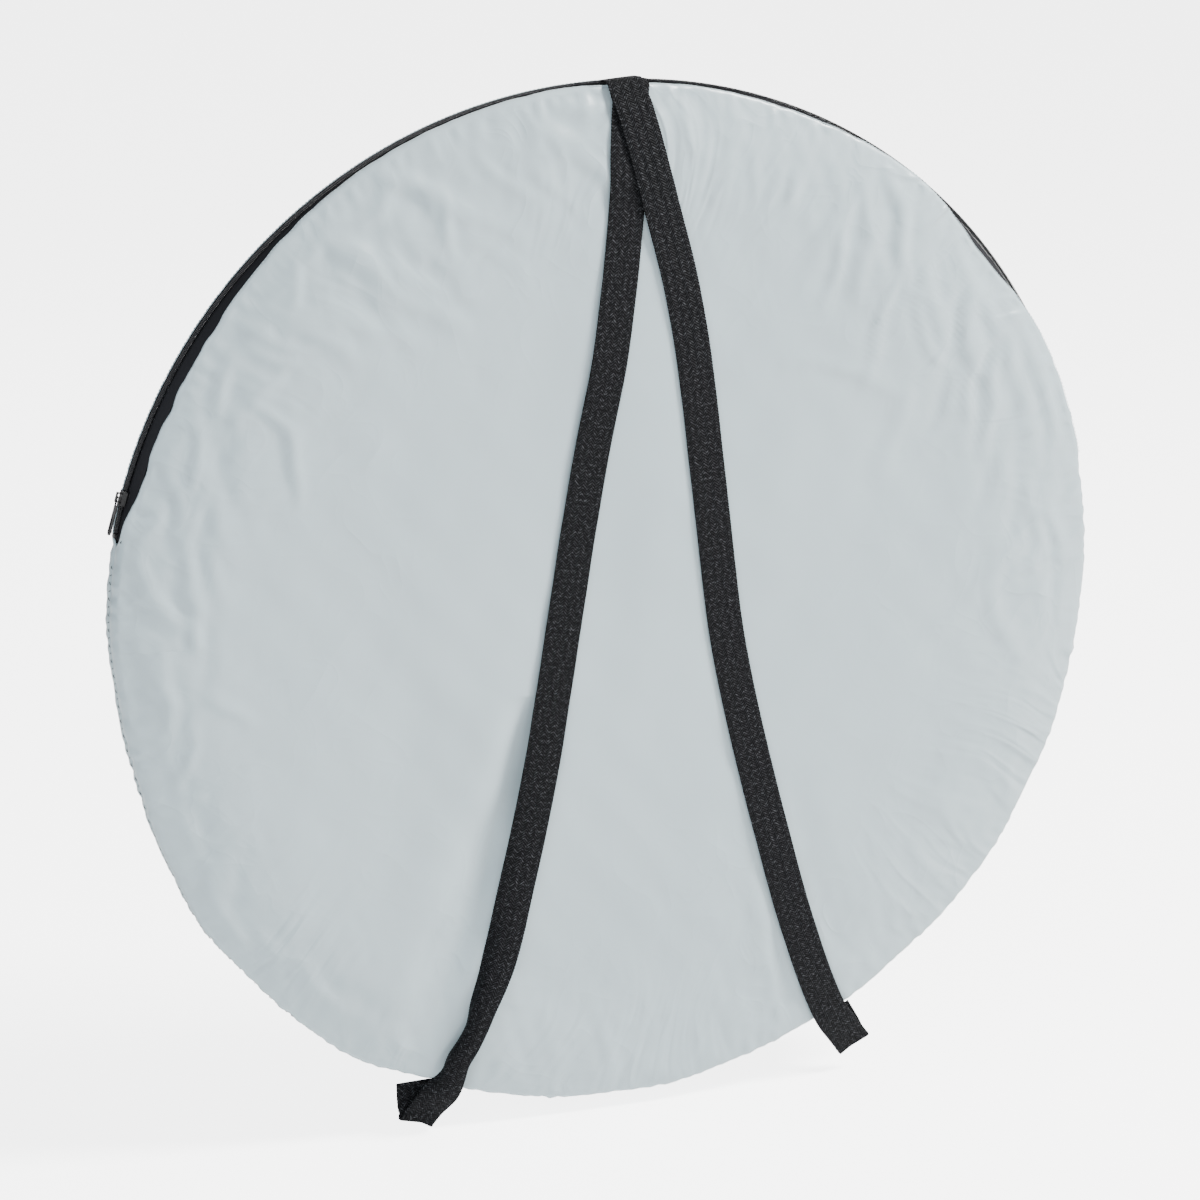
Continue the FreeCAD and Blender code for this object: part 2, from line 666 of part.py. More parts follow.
doc.recompute()
faults = [item.Name for item in doc.Objects if {"Invalid", "Error"} & set(item.State)]
for sub_part in SUB_PARTS:
    if sub_part.Shape.isNull() or not sub_part.Shape.isValid() or not sub_part.Shape.Solids:
        faults.append(sub_part.Label)
if faults:
    raise RuntimeError(f"these objects failed: {', '.join(faults)}")
os.makedirs("parts", exist_ok=True)
for sub_part in SUB_PARTS:
    sub_part.Shape.exportStep(f"parts/{sub_part.Label}.step")
    box = sub_part.Shape.BoundBox
    spans = [(box.XMin, box.XMax), (box.YMin, box.YMax), (box.ZMin, box.ZMax)]
    reach = "  ".join(f"{axis} {low:7.1f} {high:7.1f}" for axis, (low, high) in zip("XYZ", spans))
    print(f"{sub_part.Label:24s} {len(sub_part.Shape.Solids)} solids, {sub_part.Shape.Volume:12.1f} mm3, {reach}")
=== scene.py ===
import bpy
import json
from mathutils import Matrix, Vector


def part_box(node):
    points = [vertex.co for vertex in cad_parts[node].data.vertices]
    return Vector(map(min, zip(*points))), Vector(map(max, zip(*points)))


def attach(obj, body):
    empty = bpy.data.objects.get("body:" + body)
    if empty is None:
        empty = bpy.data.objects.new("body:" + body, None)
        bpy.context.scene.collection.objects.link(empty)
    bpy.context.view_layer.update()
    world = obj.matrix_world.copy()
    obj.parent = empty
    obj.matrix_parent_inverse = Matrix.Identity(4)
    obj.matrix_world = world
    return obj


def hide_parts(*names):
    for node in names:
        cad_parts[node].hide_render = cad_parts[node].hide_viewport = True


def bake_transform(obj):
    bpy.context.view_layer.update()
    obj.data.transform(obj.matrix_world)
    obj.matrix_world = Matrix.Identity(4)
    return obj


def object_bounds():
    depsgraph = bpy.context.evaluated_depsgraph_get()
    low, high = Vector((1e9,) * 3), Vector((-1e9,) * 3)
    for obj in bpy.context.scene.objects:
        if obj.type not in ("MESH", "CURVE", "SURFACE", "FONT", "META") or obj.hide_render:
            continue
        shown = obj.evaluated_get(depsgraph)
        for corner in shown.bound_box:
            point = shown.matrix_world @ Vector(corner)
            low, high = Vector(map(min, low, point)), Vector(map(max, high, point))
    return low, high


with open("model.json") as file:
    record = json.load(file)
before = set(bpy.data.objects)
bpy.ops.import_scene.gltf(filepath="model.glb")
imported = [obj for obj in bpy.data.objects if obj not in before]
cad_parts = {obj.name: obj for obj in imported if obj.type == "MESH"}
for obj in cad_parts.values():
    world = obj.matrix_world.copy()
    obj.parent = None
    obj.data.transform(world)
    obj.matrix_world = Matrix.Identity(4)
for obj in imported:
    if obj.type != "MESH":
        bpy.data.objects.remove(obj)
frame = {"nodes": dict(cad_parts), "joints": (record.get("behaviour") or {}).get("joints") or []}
CAD_LOW, CAD_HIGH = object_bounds()

"""Pop-up tent packed in its round carry bag: cloth, webbing, zip teeth and the folded tent inside.

Lengths are in metres. The disc stands upright: X right, Y from front to back, Z up. Angles round the
rim are counted from +X towards +Z about the disc's centre, as in the CAD frame.
"""
import json
import logging
import math
from dataclasses import dataclass, field
from enum import Enum
from functools import cache

import bmesh
import bpy
import numpy as np
from mathutils import Vector

log = logging.getLogger("popup_tent")
MM = 0.001
TAU = 2 * math.pi

Piece = bpy.types.Object
Tree = bpy.types.NodeTree
Socket = bpy.types.NodeSocket
Row = tuple[float, float, float]
Feed = Socket | float | tuple[float, ...]


class Side(Enum):
    """Which panel a piece belongs to; the value is the sign of Y."""

    FRONT = -1
    BACK = 1


# ------------------------------------------------------------------ mesh tools


def make_object(
    name: str, points: np.ndarray, faces: np.ndarray, uv: np.ndarray | None = None
) -> Piece:
    """Put points and quads into a smooth-shaded mesh.

    Args:
        name: the piece's name.
        points: vertices, one row each.
        faces: vertex numbers, four to a row; a triangle repeats its last number.
        uv: optional surface coordinates, one pair for each vertex, in metres.

    Returns:
        The new object, linked to the scene.
    """
    mesh = bpy.data.meshes.new(name)
    faces = np.asarray(faces, np.int64)
    sizes = np.where(faces[:, 2] == faces[:, 3], 3, 4)
    keep = np.ones(faces.shape, bool)
    keep[:, 3] = sizes == 4
    corners = faces[keep].astype(np.int32)
    mesh.vertices.add(len(points))
    mesh.vertices.foreach_set("co", np.asarray(points, np.float32).ravel())
    mesh.loops.add(len(corners))
    mesh.loops.foreach_set("vertex_index", corners)
    mesh.polygons.add(len(faces))
    mesh.polygons.foreach_set("loop_start", (np.cumsum(sizes) - sizes).astype(np.int32))
    mesh.polygons.foreach_set("loop_total", sizes.astype(np.int32))
    mesh.polygons.foreach_set("use_smooth", np.ones(len(faces), bool))
    mesh.update(calc_edges=True)
    if uv is not None:
        layer = mesh.uv_layers.new(name="UVMap")
        layer.data.foreach_set("uv", np.asarray(uv, np.float32)[corners].ravel())
    mesh.validate()
    piece = bpy.data.objects.new(name, mesh)
    bpy.context.scene.collection.objects.link(piece)
    return piece


def grid_faces(rows: int, columns: int, wrap_rows: bool = False, wrap_columns: bool = False) -> np.ndarray:
    """Quads of a grid of vertices numbered row by row.

    Args:
        rows: vertices down the grid.
        columns: vertices along each row.
        wrap_rows: join the last row to the first.
        wrap_columns: join the last column to the first.

    Returns:
        Vertex numbers, four to a row.
    """
    down = np.arange(rows if wrap_rows else rows - 1)
    along = np.arange(columns if wrap_columns else columns - 1)
    i, j = np.meshgrid(down, along, indexing="ij")
    below, beside = (i + 1) % rows, (j + 1) % columns
    row, next_row = i * columns, below * columns
    quads = np.stack([row + j, row + beside, next_row + beside, next_row + j], -1)
    return quads.reshape(-1, 4)


def carry(
    centres: np.ndarray, across: np.ndarray, out: np.ndarray, section: np.ndarray, closed: bool = False
) -> tuple[np.ndarray, np.ndarray]:
    """Carry a closed section along a path.

    Each point is its centre plus the section's first coordinate along across and its second along out.

    Args:
        centres: the path, one row for each station.
        across: unit width directions, one for each station.
        out: unit thickness directions, one for each station.
        section: the section's outline, as (points, 2) or (stations, points, 2).
        closed: True joins the path's end to its start, and False caps both ends.

    Returns:
        Vertices and faces.
    """
    if section.ndim == 2:
        section = np.broadcast_to(section, (len(centres), *section.shape))
    points = centres[:, None] + section[..., :1] * across[:, None] + section[..., 1:] * out[:, None]
    stations, sides = points.shape[:2]
    faces = [grid_faces(stations, sides, closed, True)]
    points = points.reshape(-1, 3)
    if not closed:
        half = sides // 2
        run = np.arange(half - 1)
        for base, flip in ((0, False), ((stations - 1) * sides, True)):
            quads = np.stack([run, run + 1, sides - 2 - run, sides - 1 - run], -1) + base
            faces.append(quads[:, ::-1] if flip else quads)
    return points, np.concatenate(faces)


def unit(vectors: np.ndarray) -> np.ndarray:
    """Vectors scaled to length 1."""
    return vectors / np.maximum(np.linalg.norm(vectors, axis=-1, keepdims=True), 1e-12)


def flat_section(width: float, thickness: float, count: int) -> np.ndarray:
    """A strip's section: a superellipse with flat faces and softly rounded edges.

    Args:
        width: full width.
        thickness: full thickness.
        count: points round the outline, an even number.

    Returns:
        Outline points, as (count, 2).
    """
    turn = (np.arange(count) + 0.5) / count * TAU - math.pi / 2
    cos, sin = np.cos(turn), np.sin(turn)
    wide = np.sign(cos) * np.abs(cos) ** 0.55 * width / 2
    thick = np.sign(sin) * np.abs(sin) ** 0.35 * thickness / 2
    return np.stack([wide, thick], -1)


def rounded_path(points: np.ndarray, step: float) -> np.ndarray:
    """A smooth line through points, sampled evenly: cubic Hermite spans, tangents from the neighbours.

    Args:
        points: the points to pass, one row each.
        step: distance between samples.

    Returns:
        Samples along the line.
    """
    gaps = np.linalg.norm(np.diff(points, axis=0), axis=1)
    knots = np.concatenate([[0.0], np.cumsum(gaps)])
    slopes = np.gradient(points, knots, axis=0)
    fine = np.linspace(0, knots[-1], int(knots[-1] / step * 2))
    span = np.clip(np.searchsorted(knots, fine, side="right") - 1, 0, len(gaps) - 1)
    length = gaps[span][:, None]
    t = ((fine - knots[span]) / gaps[span])[:, None]
    line = (
        (2 * t**3 - 3 * t**2 + 1) * points[span]
        + (t**3 - 2 * t**2 + t) * length * slopes[span]
        + (3 * t**2 - 2 * t**3) * points[span + 1]
        + (t**3 - t**2) * length * slopes[span + 1]
    )
    run = np.concatenate([[0.0], np.cumsum(np.linalg.norm(np.diff(line, axis=0), axis=1))])
    even = np.linspace(0, run[-1], int(run[-1] / step) + 1)
    return np.stack([np.interp(even, run, line[:, axis]) for axis in range(3)], -1)


def smooth_step(low: float, high: float, value: np.ndarray) -> np.ndarray:
    """0 below low, 1 above high, and an S-curve between."""
    t = np.clip((value - low) / (high - low), 0, 1)
    return t * t * (3 - 2 * t)


def bell(value: np.ndarray, centre: float, width: float) -> np.ndarray:
    """1 at the centre, falling away smoothly over the width."""
    return np.exp(-(((value - centre) / width) ** 2))


def eased(values: np.ndarray, samples: int) -> np.ndarray:
    """Values averaged over a rounded window of an odd number of samples, with the ends held."""
    window = np.hanning(samples)
    return np.convolve(np.pad(values, samples // 2, "edge"), window / window.sum(), "valid")


def ripples(
    x: np.ndarray, z: np.ndarray, seed: int, shortest: float, longest: float, count: int
) -> np.ndarray:
    """Soft random waves: a sum of sines of random heading and wavelength, scaled to about -1 to 1.

    Args:
        x: first coordinate.
        z: second coordinate.
        seed: fixes the waves.
        shortest: shortest wavelength.
        longest: longest wavelength.
        count: number of sines.

    Returns:
        Wave height at each place.
    """
    rng = np.random.default_rng(seed)
    total = np.zeros_like(x)
    for _ in range(count):
        wavelength = math.exp(rng.uniform(math.log(shortest), math.log(longest)))
        heading, phase = rng.uniform(0, TAU, 2)
        along = x * math.cos(heading) + z * math.sin(heading)
        total += np.sin(along * TAU / wavelength + phase)
    usual_peak = 1.4 * math.sqrt(count)
    return total / usual_peak


def finish_piece(piece: Piece, finish: "Finish", body: str, *nodes: str) -> Piece:
    """Dress a piece, make it ride on a body and let it stand for CAD nodes.

    Args:
        piece: the object.
        finish: its finish, whose material it gets.
        body: the CAD body that it moves with, or an empty string for a piece that rides on no body.
        nodes: the CAD nodes that it replaces.

    Returns:
        The same object.
    """
    piece.data.materials.clear()
    piece.data.materials.append(finish.material())
    if body:
        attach(piece, body)
    if nodes:
        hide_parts(*nodes)
    log.info("%s: %d faces", piece.name, len(piece.data.polygons))
    return piece


# ------------------------------------------------------------------ the disc's own sizes


# Waves of the soft rim: waves to a turn, lag in degrees, share of the height.
RIM_WAVES = ((7, 0, 1.0), (17, 40, 0.8), (29, 0, 0.6))
# Where the front panel's edge covers its tape: angle in degrees, share of the way to the teeth.
FRONT_COVER = (
    (26, 1.0), (32, 0.1), (45, 0.0), (49, 0.5), (54, 0.5), (58, 0.1), (64, 0.0),
    (83, 0.15), (86, 0.0), (93, 0.0), (96, 0.7), (116, 0.7), (146, 0.0),
)  # fmt: skip


def from_bottom(angle: np.ndarray) -> np.ndarray:
    """Angles in degrees brought into the turn from -90 to 270, which is broken at the rim's bottom."""
    return np.mod(angle + 90, 360) - 90


@dataclass(frozen=True)
class Disc:
    """The bag's driving sizes, read from the CAD frame."""

    centre_z: float
    rim: float
    half_depth: float
    flat: float = 330 * MM
    shoulder: float = 414 * MM
    shoulder_depth: float = 14.2 * MM
    edge_bend: float = 330 * MM
    zip_start: float = 12.0
    zip_end: float = 168.0

    @classmethod
    def from_frame(cls) -> "Disc":
        """Read the rim's radius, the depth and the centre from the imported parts."""
        low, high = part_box("front_panel")
        return cls(centre_z=(low.z + high.z) / 2, rim=(high.x - low.x) / 2, half_depth=-low.y)

    def depth(self, radius: np.ndarray) -> np.ndarray:
        """Mid-plane to a panel's outside: flat, then a convex arc down to the shoulder."""
        reach = np.clip(radius, self.flat, self.shoulder) - self.flat
        return self.half_depth - (self.edge_bend - np.sqrt(self.edge_bend**2 - reach**2))

    def place(self, radius: np.ndarray, angle: np.ndarray, y: np.ndarray) -> np.ndarray:
        """Points from a radius, an angle in radians and a depth."""
        depth = np.broadcast_to(y, np.shape(radius))
        return np.stack([radius * np.cos(angle), depth, self.centre_z + radius * np.sin(angle)], -1)

    def sag(self, angle: np.ndarray) -> np.ndarray:
        """How far the soft rim below the zip stands out of its circle, by angle in degrees."""
        turn = np.mod(angle, 360)
        tucked = -5.5 * MM * bell(turn, 193, 13)
        bulged = 5.0 * MM * bell(turn, 237, 9)
        below = smooth_step(172, 190, turn) * (1 - smooth_step(350, 366, turn))
        wander = sum(high * np.sin(np.radians(turn * waves + lag)) for waves, lag, high in RIM_WAVES)
        return tucked + bulged + 0.9 * MM * wander * below

    def draw_in(self, angle: np.ndarray) -> np.ndarray:
        """How far the front panel's zip edge is drawn in from the rim, by angle in degrees.

        The cloth is tighter on the left, and small irregular bites follow the stitching.
        """
        turn = from_bottom(angle)
        left = smooth_step(120, 150, turn) * (1 - smooth_step(162, 166.6, turn))
        right = bell(turn, 39.5, 7) + 0.28 * bell(turn, 69, 10)
        bites = np.zeros_like(turn)
        rng = np.random.default_rng(29)
        for waves in rng.uniform(36, 130, 12):
            bites += np.sin(np.radians(turn * waves) + rng.uniform(0, TAU)) / 3.4
        zip_span = smooth_step(10, 18, turn) * (1 - smooth_step(160, 168, turn))
        bitten = zip_span * 0.6 * np.maximum(bites, -0.9) * (0.4 + 0.8 * left)
        return MM * (6.4 * left + 7.5 * right + bitten)

    def covered(self, angle: np.ndarray, side: Side) -> np.ndarray:
        """How far a panel's edge reaches over its tape to the teeth, 0 to 1, by angle in degrees."""
        turn = from_bottom(angle)
        if side is Side.BACK:
            return 0.3 * smooth_step(100, 150, turn)
        return np.interp(turn, *np.array(FRONT_COVER).T)


# ------------------------------------------------------------------ folds in the cloth


@dataclass(frozen=True)
class Crease:
    """A soft fold along a curve through three places, about the disc's centre, in millimetres."""

    start: tuple[float, float]
    middle: tuple[float, float]
    end: tuple[float, float]
    height: float
    width: float

    def relief(self, x: np.ndarray, z: np.ndarray) -> np.ndarray:
        """Height of the fold: a rounded ridge with a shallow trough each side, fading to both ends."""
        t = np.linspace(0, 1, 15)[:, None]
        a, b, c = (np.array(p) * MM for p in (self.start, self.middle, self.end))
        curve = a * (1 - t) * (1 - 2 * t) + 4 * b * t * (1 - t) + c * t * (2 * t - 1)
        wide = self.width * MM
        reach = 4 * wide
        low, high = curve.min(0) - reach, curve.max(0) + reach
        near = (x > low[0]) & (x < high[0]) & (z > low[1]) & (z < high[1])
        total = np.zeros_like(x)
        if not near.any():
            return total
        here = np.stack([x[near], z[near]], -1)
        ends = curve[1:] - curve[:-1]
        offset = here[:, None] - curve[:-1]
        along = np.clip((offset * ends).sum(-1) / (ends**2).sum(-1), 0, 1)
        distance = np.linalg.norm(offset - along[..., None] * ends, axis=-1)
        nearest = distance.argmin(1)
        rows = np.arange(len(here))
        way = (nearest + along[rows, nearest]) / len(ends)
        d = distance[rows, nearest] / wide
        ridge = 1.25 * np.exp(-(d**2)) - 0.5 * np.exp(-((d / 2.1) ** 2))
        total[near] = 1.45 * self.height * MM * ridge * np.sin(math.pi * way) ** 0.6
        return total


@dataclass(frozen=True)
class Gathers:
    """Folds that start along a stretch of the rim and run the same way, give or take a seeded draw.

    Angles are in degrees and lengths in millimetres; heading 0 is +X and 90 is up.
    """

    first: float
    last: float
    count: int
    length: tuple[float, float]
    heading: float
    height: float
    width: tuple[float, float]
    seed: int
    start: tuple[float, float] = (350.0, 410.0)

    def creases(self) -> list[Crease]:
        """The folds, with lengths, slants and heights that differ by a seeded draw."""
        rng = np.random.default_rng(self.seed)
        made = []
        for index in range(self.count):
            share = (index + rng.uniform(0.1, 0.9)) / self.count
            angle = math.radians(self.first + (self.last - self.first) * share)
            length = rng.uniform(*self.length)
            heading = math.radians(self.heading + rng.normal(0, 14))
            start = rng.uniform(*self.start) * np.array([math.cos(angle), math.sin(angle)])
            way = np.array([math.cos(heading), math.sin(heading)])
            bow = np.array([-way[1], way[0]]) * length * rng.normal(0, 0.1)
            middle, end = start + way * length / 2 + bow, start + way * length
            height = self.height * rng.uniform(0.45, 1.2) * rng.choice([1.0, -0.7], p=[0.7, 0.3])
            width = rng.uniform(*self.width)
            made.append(Crease(tuple(start), tuple(middle), tuple(end), height, width))
        return made


FRONT_CREASES = [
    Crease((-215, 372), (-150, 338), (-80, 302), 1.9, 9),
    Crease((-226, 312), (-180, 262), (-125, 235), 1.6, 8),
    Crease((-250, 327), (-212, 322), (-187, 356), 1.5, 6),
    Crease((-298, 271), (-262, 290), (-236, 313), 1.6, 6),
    Crease((-323, 235), (-330, 207), (-334, 184), 2.0, 7),
    Crease((-309, 239), (-290, 226), (-266, 221), 1.3, 6),
    Crease((-281, 185), (-270, 146), (-258, 117), 0.9, 9),
    Crease((-362, 187), (-352, 154), (-364, 121), 2.0, 6),
    Crease((-382, 146), (-372, 118), (-364, 100), 2.0, 6),
    Crease((-404, 44), (-384, 42), (-367, 12), 1.5, 6),
    Crease((-400, 20), (-382, -30), (-396, -81), 1.8, 7),
    Crease((184, 353), (178, 300), (146, 249), 1.4, 7),
    Crease((200, 320), (180, 270), (172, 228), 1.2, 6),
    Crease((226, 340), (240, 296), (217, 244), 1.8, 8),
    Crease((291, 290), (306, 237), (293, 180), 2.2, 9),
    Crease((313, 245), (342, 180), (359, 124), 2.4, 8),
    Crease((335, 240), (368, 163), (387, 95), 2.8, 8),
    Crease((134, 191), (186, 182), (251, 148), 0.9, 8),
    Crease((250, 172), (238, 130), (220, 75), 1.0, 8),
    Crease((350, 74), (370, 31), (363, -9), 1.5, 9),
    Crease((228, -88), (300, -28), (362, 22), 0.9, 12),
    Crease((-348, -170), (-346, -200), (-324, -235), 1.8, 7),
    Crease((-318, -219), (-302, -251), (-284, -293), 1.5, 7),
    Crease((-265, -275), (-250, -300), (-232, -322), 1.3, 7),
    Crease((-76, -70), (-122, -205), (-178, -350), -11.0, 22),
    Crease((-100, -60), (-112, -190), (-150, -320), 2.4, 20),
    Crease((112, -240), (124, -300), (132, -372), 1.4, 9),
    Crease((146, -150), (172, -260), (196, -330), -2.0, 20),
    Crease((-62, 408), (-40, 404), (-16, 402), 1.6, 5),
    Crease((-70, 396), (-44, 390), (-18, 392), -1.2, 6),
    Crease((40, 410), (56, 392), (62, 360), 1.1, 8),
    Crease((-10, 300), (20, 120), (36, -120), 1.6, 38),
    Crease((-220, 60), (-190, -60), (-150, -150), -1.4, 34),
]
FRONT_GATHERS = [
    Gathers(96, 120, 10, (40, 110), -52, 1.3, (5.5, 9.5), 11, (375, 412)),
    Gathers(118, 142, 12, (35, 110), -40, 1.5, (5.0, 10.0), 12),
    Gathers(128, 152, 9, (25, 70), 42, 1.2, (4.5, 8.0), 22),
    Gathers(146, 178, 16, (35, 110), -80, 1.6, (5.0, 9.5), 13),
    Gathers(180, 214, 9, (25, 70), -74, 1.2, (5.0, 8.5), 14),
    Gathers(206, 240, 10, (25, 70), -52, 1.3, (5.0, 8.5), 15, (370, 412)),
    Gathers(244, 292, 12, (20, 60), 84, 0.9, (5.0, 8.5), 16, (402, 413)),
    Gathers(296, 348, 9, (25, 70), 128, 0.8, (6.0, 10.0), 17, (396, 413)),
    Gathers(-14, 28, 12, (45, 130), 98, 1.5, (5.5, 10.0), 18, (372, 400)),
    Gathers(24, 60, 18, (50, 150), -97, 1.7, (4.5, 9.5), 19, (370, 412)),
    Gathers(58, 80, 8, (40, 100), -104, 1.1, (5.0, 8.5), 20, (385, 412)),
]
BACK_CREASES = [
    Crease((-300, 60), (-120, 20), (140, 70), -2.0, 30),
    Crease((-200, -140), (40, -120), (280, -190), 1.6, 26),
    Crease((-60, 300), (-20, 120), (30, -40), 1.2, 30),
    Crease((260, 220), (200, 120), (190, 10), 1.4, 14),
    Crease((-260, 250), (-210, 150), (-220, 40), 1.4, 12),
]
BACK_SLANTS = (-30, 24, 46)
BACK_GATHERS = [
    Gathers(first, first + 36, 10, (30, 90), first + 180 + BACK_SLANTS[k % 3], 1.3, (5.0, 9.0), 40 + k)
    for k, first in enumerate(range(20, 380, 36))
]


# ------------------------------------------------------------------ the panels


def concentric(count: int) -> tuple[np.ndarray, np.ndarray, np.ndarray, np.ndarray]:
    """A square grid mapped onto the unit disc, ring by ring, so its cells stay even.

    Args:
        count: cells along each side of the square.

    Returns:
        x, z, quads, and the numbers of the rim's vertices in order.
    """
    side = np.linspace(-1, 1, count + 1)
    b, a = np.meshgrid(side, side, indexing="ij")
    wide = np.abs(a) > np.abs(b)
    radius = np.where(wide, a, b)
    with np.errstate(divide="ignore", invalid="ignore"):
        turn = np.where(wide, math.pi / 4 * b / a, math.pi / 2 - math.pi / 4 * a / b)
    turn = np.where(radius == 0, 0, turn)
    numbers = np.arange((count + 1) ** 2).reshape(count + 1, count + 1)
    rim = np.concatenate([numbers[0, :-1], numbers[:-1, -1], numbers[-1, :0:-1], numbers[:0:-1, 0]])
    x, z = (radius * np.cos(turn)).ravel(), (radius * np.sin(turn)).ravel()
    return x, z, grid_faces(count + 1, count + 1), rim


# Rows in which a panel turns over the rim: radius and depth in millimetres.
ZIP_TAIL = (
    (415.4, 13.8), (416.9, 13.2), (418.2, 12.5), (418.9, 11.7),
    (418.95, 11.1), (418.7, 10.8), (418.4, 11.4), (418.35, 12.8),
)  # fmt: skip
RAISED_TAIL = (
    (415.6, 13.7), (417.6, 13.0), (419.3, 11.8), (420.1, 10.0),
    (420.4, 8.0), (420.2, 6.4), (419.5, 6.3), (419.3, 8.4),
)  # fmt: skip
SEAM_TAIL = (
    (415.3, 13.5), (417.0, 12.0), (418.1, 9.8), (418.6, 7.2),
    (418.6, 4.6), (418.2, 2.4), (417.4, 0.9), (416.4, 0.35),
)  # fmt: skip


@dataclass
class Panel:
    """One cloth disc of the bag, from its middle to the seam or the zip tape."""

    disc: Disc
    side: Side
    creases: list[Crease]
    gathers: list[Gathers]
    seed: int
    cells: int = 200

    def relief(self, x: np.ndarray, z: np.ndarray) -> np.ndarray:
        """How far the cloth stands out of its smooth shape: broad swells, folds and fine crumple.

        A tanh keeps the sum under the highest ridge and above the deepest valley.
        """
        ridge, valley = 3.6 * MM, 9 * MM
        radius = np.hypot(x, z)
        inner = 1 - smooth_step(380 * MM, 413 * MM, radius)
        swell = 1.5 * MM * ripples(x, z, self.seed, 150 * MM, 420 * MM, 7) * inner
        soft = 0.5 * MM * ripples(x, z, self.seed + 1, 36 * MM, 90 * MM, 12)
        near_rim = smooth_step(250 * MM, 400 * MM, radius)
        crumple = 0.3 * MM * ripples(x, z, self.seed + 2, 12 * MM, 26 * MM, 14) * (0.15 + near_rim)
        total = swell + soft + crumple
        u = x + 4 * MM * ripples(x, z, self.seed + 6, 45 * MM, 110 * MM, 9)
        w = z + 4 * MM * ripples(x, z, self.seed + 7, 45 * MM, 110 * MM, 9)
        for crease in self.creases + [fold for row in self.gathers for fold in row.creases()]:
            total += crease.relief(u, w)
        total = np.where(total > 0, ridge * np.tanh(total / ridge), valley * np.tanh(total / valley))
        if self.side is Side.BACK:
            clear = smooth_step(55 * MM, 90 * MM, np.abs(x))
            clear = clear + smooth_step(118 * MM, 150 * MM, np.abs(z + 70 * MM))
            total = np.maximum(total, -0.3 * MM - 3 * MM * clear)
        return total * (1 - 0.75 * smooth_step(404 * MM, 415 * MM, radius))

    def pucker(self, angle: np.ndarray) -> np.ndarray:
        """Small gathers that the stitching draws along the edge, by angle in radians."""
        rng = np.random.default_rng(self.seed + 5)
        total = np.zeros_like(angle)
        for waves in rng.integers(70, 260, 14):
            total += np.sin(angle * waves + rng.uniform(0, TAU))
        return total / 4

    def outline(self) -> tuple[np.ndarray, np.ndarray]:
        """The panel's vertices and faces: an even disc, then rows that turn over the rim."""
        disc, sign = self.disc, self.side.value
        ux, uz, faces, rim = concentric(self.cells)
        x, z = ux * disc.shoulder, uz * disc.shoulder
        radius = np.hypot(x, z)
        angle = np.arctan2(z, x)
        turn = np.degrees(angle) % 360
        out = disc.depth(radius) + self.relief(x, z)
        out += 0.6 * MM * self.pucker(angle) * smooth_step(396 * MM, 414 * MM, radius)
        pulled = disc.sag(turn) - (disc.draw_in(turn) if self.side is Side.FRONT else 0)
        stretch = 1 + pulled / disc.rim * smooth_step(330 * MM, 414 * MM, radius)
        body = np.stack([x * stretch, sign * out, disc.centre_z + z * stretch], -1)
        edge_angle = angle[rim]
        edge_turn = np.degrees(edge_angle) % 360
        mirrored = np.where(edge_turn < 90, 180 - edge_turn, edge_turn)
        seam = smooth_step(disc.zip_end - 0.9, disc.zip_end + 0.9, mirrored)
        tails = []
        pucker = self.pucker(edge_angle)
        raised = disc.covered(edge_turn, self.side)
        drawn = disc.draw_in(edge_turn) if self.side is Side.FRONT else 0
        for row, over_rim in enumerate(zip(ZIP_TAIL, RAISED_TAIL, SEAM_TAIL)):
            share = (row + 1) / len(ZIP_TAIL)
            reach, depth = (
                ((low * (1 - raised) + high * raised) * (1 - seam) + plain * seam) * MM
                for low, high, plain in zip(*over_rim)
            )
            bulge = math.sin(math.pi * share)
            reach = reach + disc.sag(edge_turn) - drawn + pucker * bulge * (0.12 + 0.5 * seam) * MM
            depth = depth + pucker * bulge * 0.15 * MM * (1 - share)
            tails.append(disc.place(reach, edge_angle, sign * depth))
        tail_numbers = len(body) + np.arange(len(tails) * len(rim)).reshape(-1, len(rim))
        rings = np.concatenate([rim[None], tail_numbers])
        beside = np.roll(rings, -1, axis=1)
        skirt = np.stack([rings[:-1], rings[1:], beside[1:], beside[:-1]], -1).reshape(-1, 4)
        faces = np.concatenate([faces, skirt])
        return np.concatenate([body, *tails]), faces[:, ::-1] if sign < 0 else faces

    def build(self, name: str, finish: "Finish") -> Piece:
        """Make the panel with its cloth's thickness turned inwards."""
        points, faces = self.outline()
        piece = make_object(name, points, faces, points[:, (0, 2)])
        face_out(piece, Vector((0, self.side.value, 0)))
        thicken(piece)
        piece.data.materials.append(finish.material())
        return piece


def thicken(piece: Piece) -> None:
    """Give a sheet its cloth's thickness, inwards."""
    shell = piece.modifiers.new("cloth", "SOLIDIFY")
    shell.thickness = 0.3 * MM
    shell.offset = -1


def fold_back(piece: Piece) -> None:
    """Bake a piece's placement into its mesh."""
    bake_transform(piece)


def face_out(piece: Piece, direction: Vector) -> None:
    """Turn a sheet's faces over if most of them look against a direction."""
    normals = np.zeros(len(piece.data.polygons) * 3, np.float32)
    piece.data.polygons.foreach_get("normal", normals)
    areas = np.zeros(len(piece.data.polygons), np.float32)
    piece.data.polygons.foreach_get("area", areas)
    if (normals.reshape(-1, 3) @ np.array(direction) * areas).sum() < 0:
        piece.data.flip_normals()


@dataclass(frozen=True)
class Stitch:
    """A stitch's length, pitch and thread radius, and the degrees that it leans across its row."""

    length: float
    pitch: float
    thread: float
    lean: float


TOPSTITCH = Stitch(2.6 * MM, 3.4 * MM, 0.22 * MM, 0)
SEAM_STITCH = Stitch(4.4 * MM, 6.2 * MM, 0.36 * MM, 62)


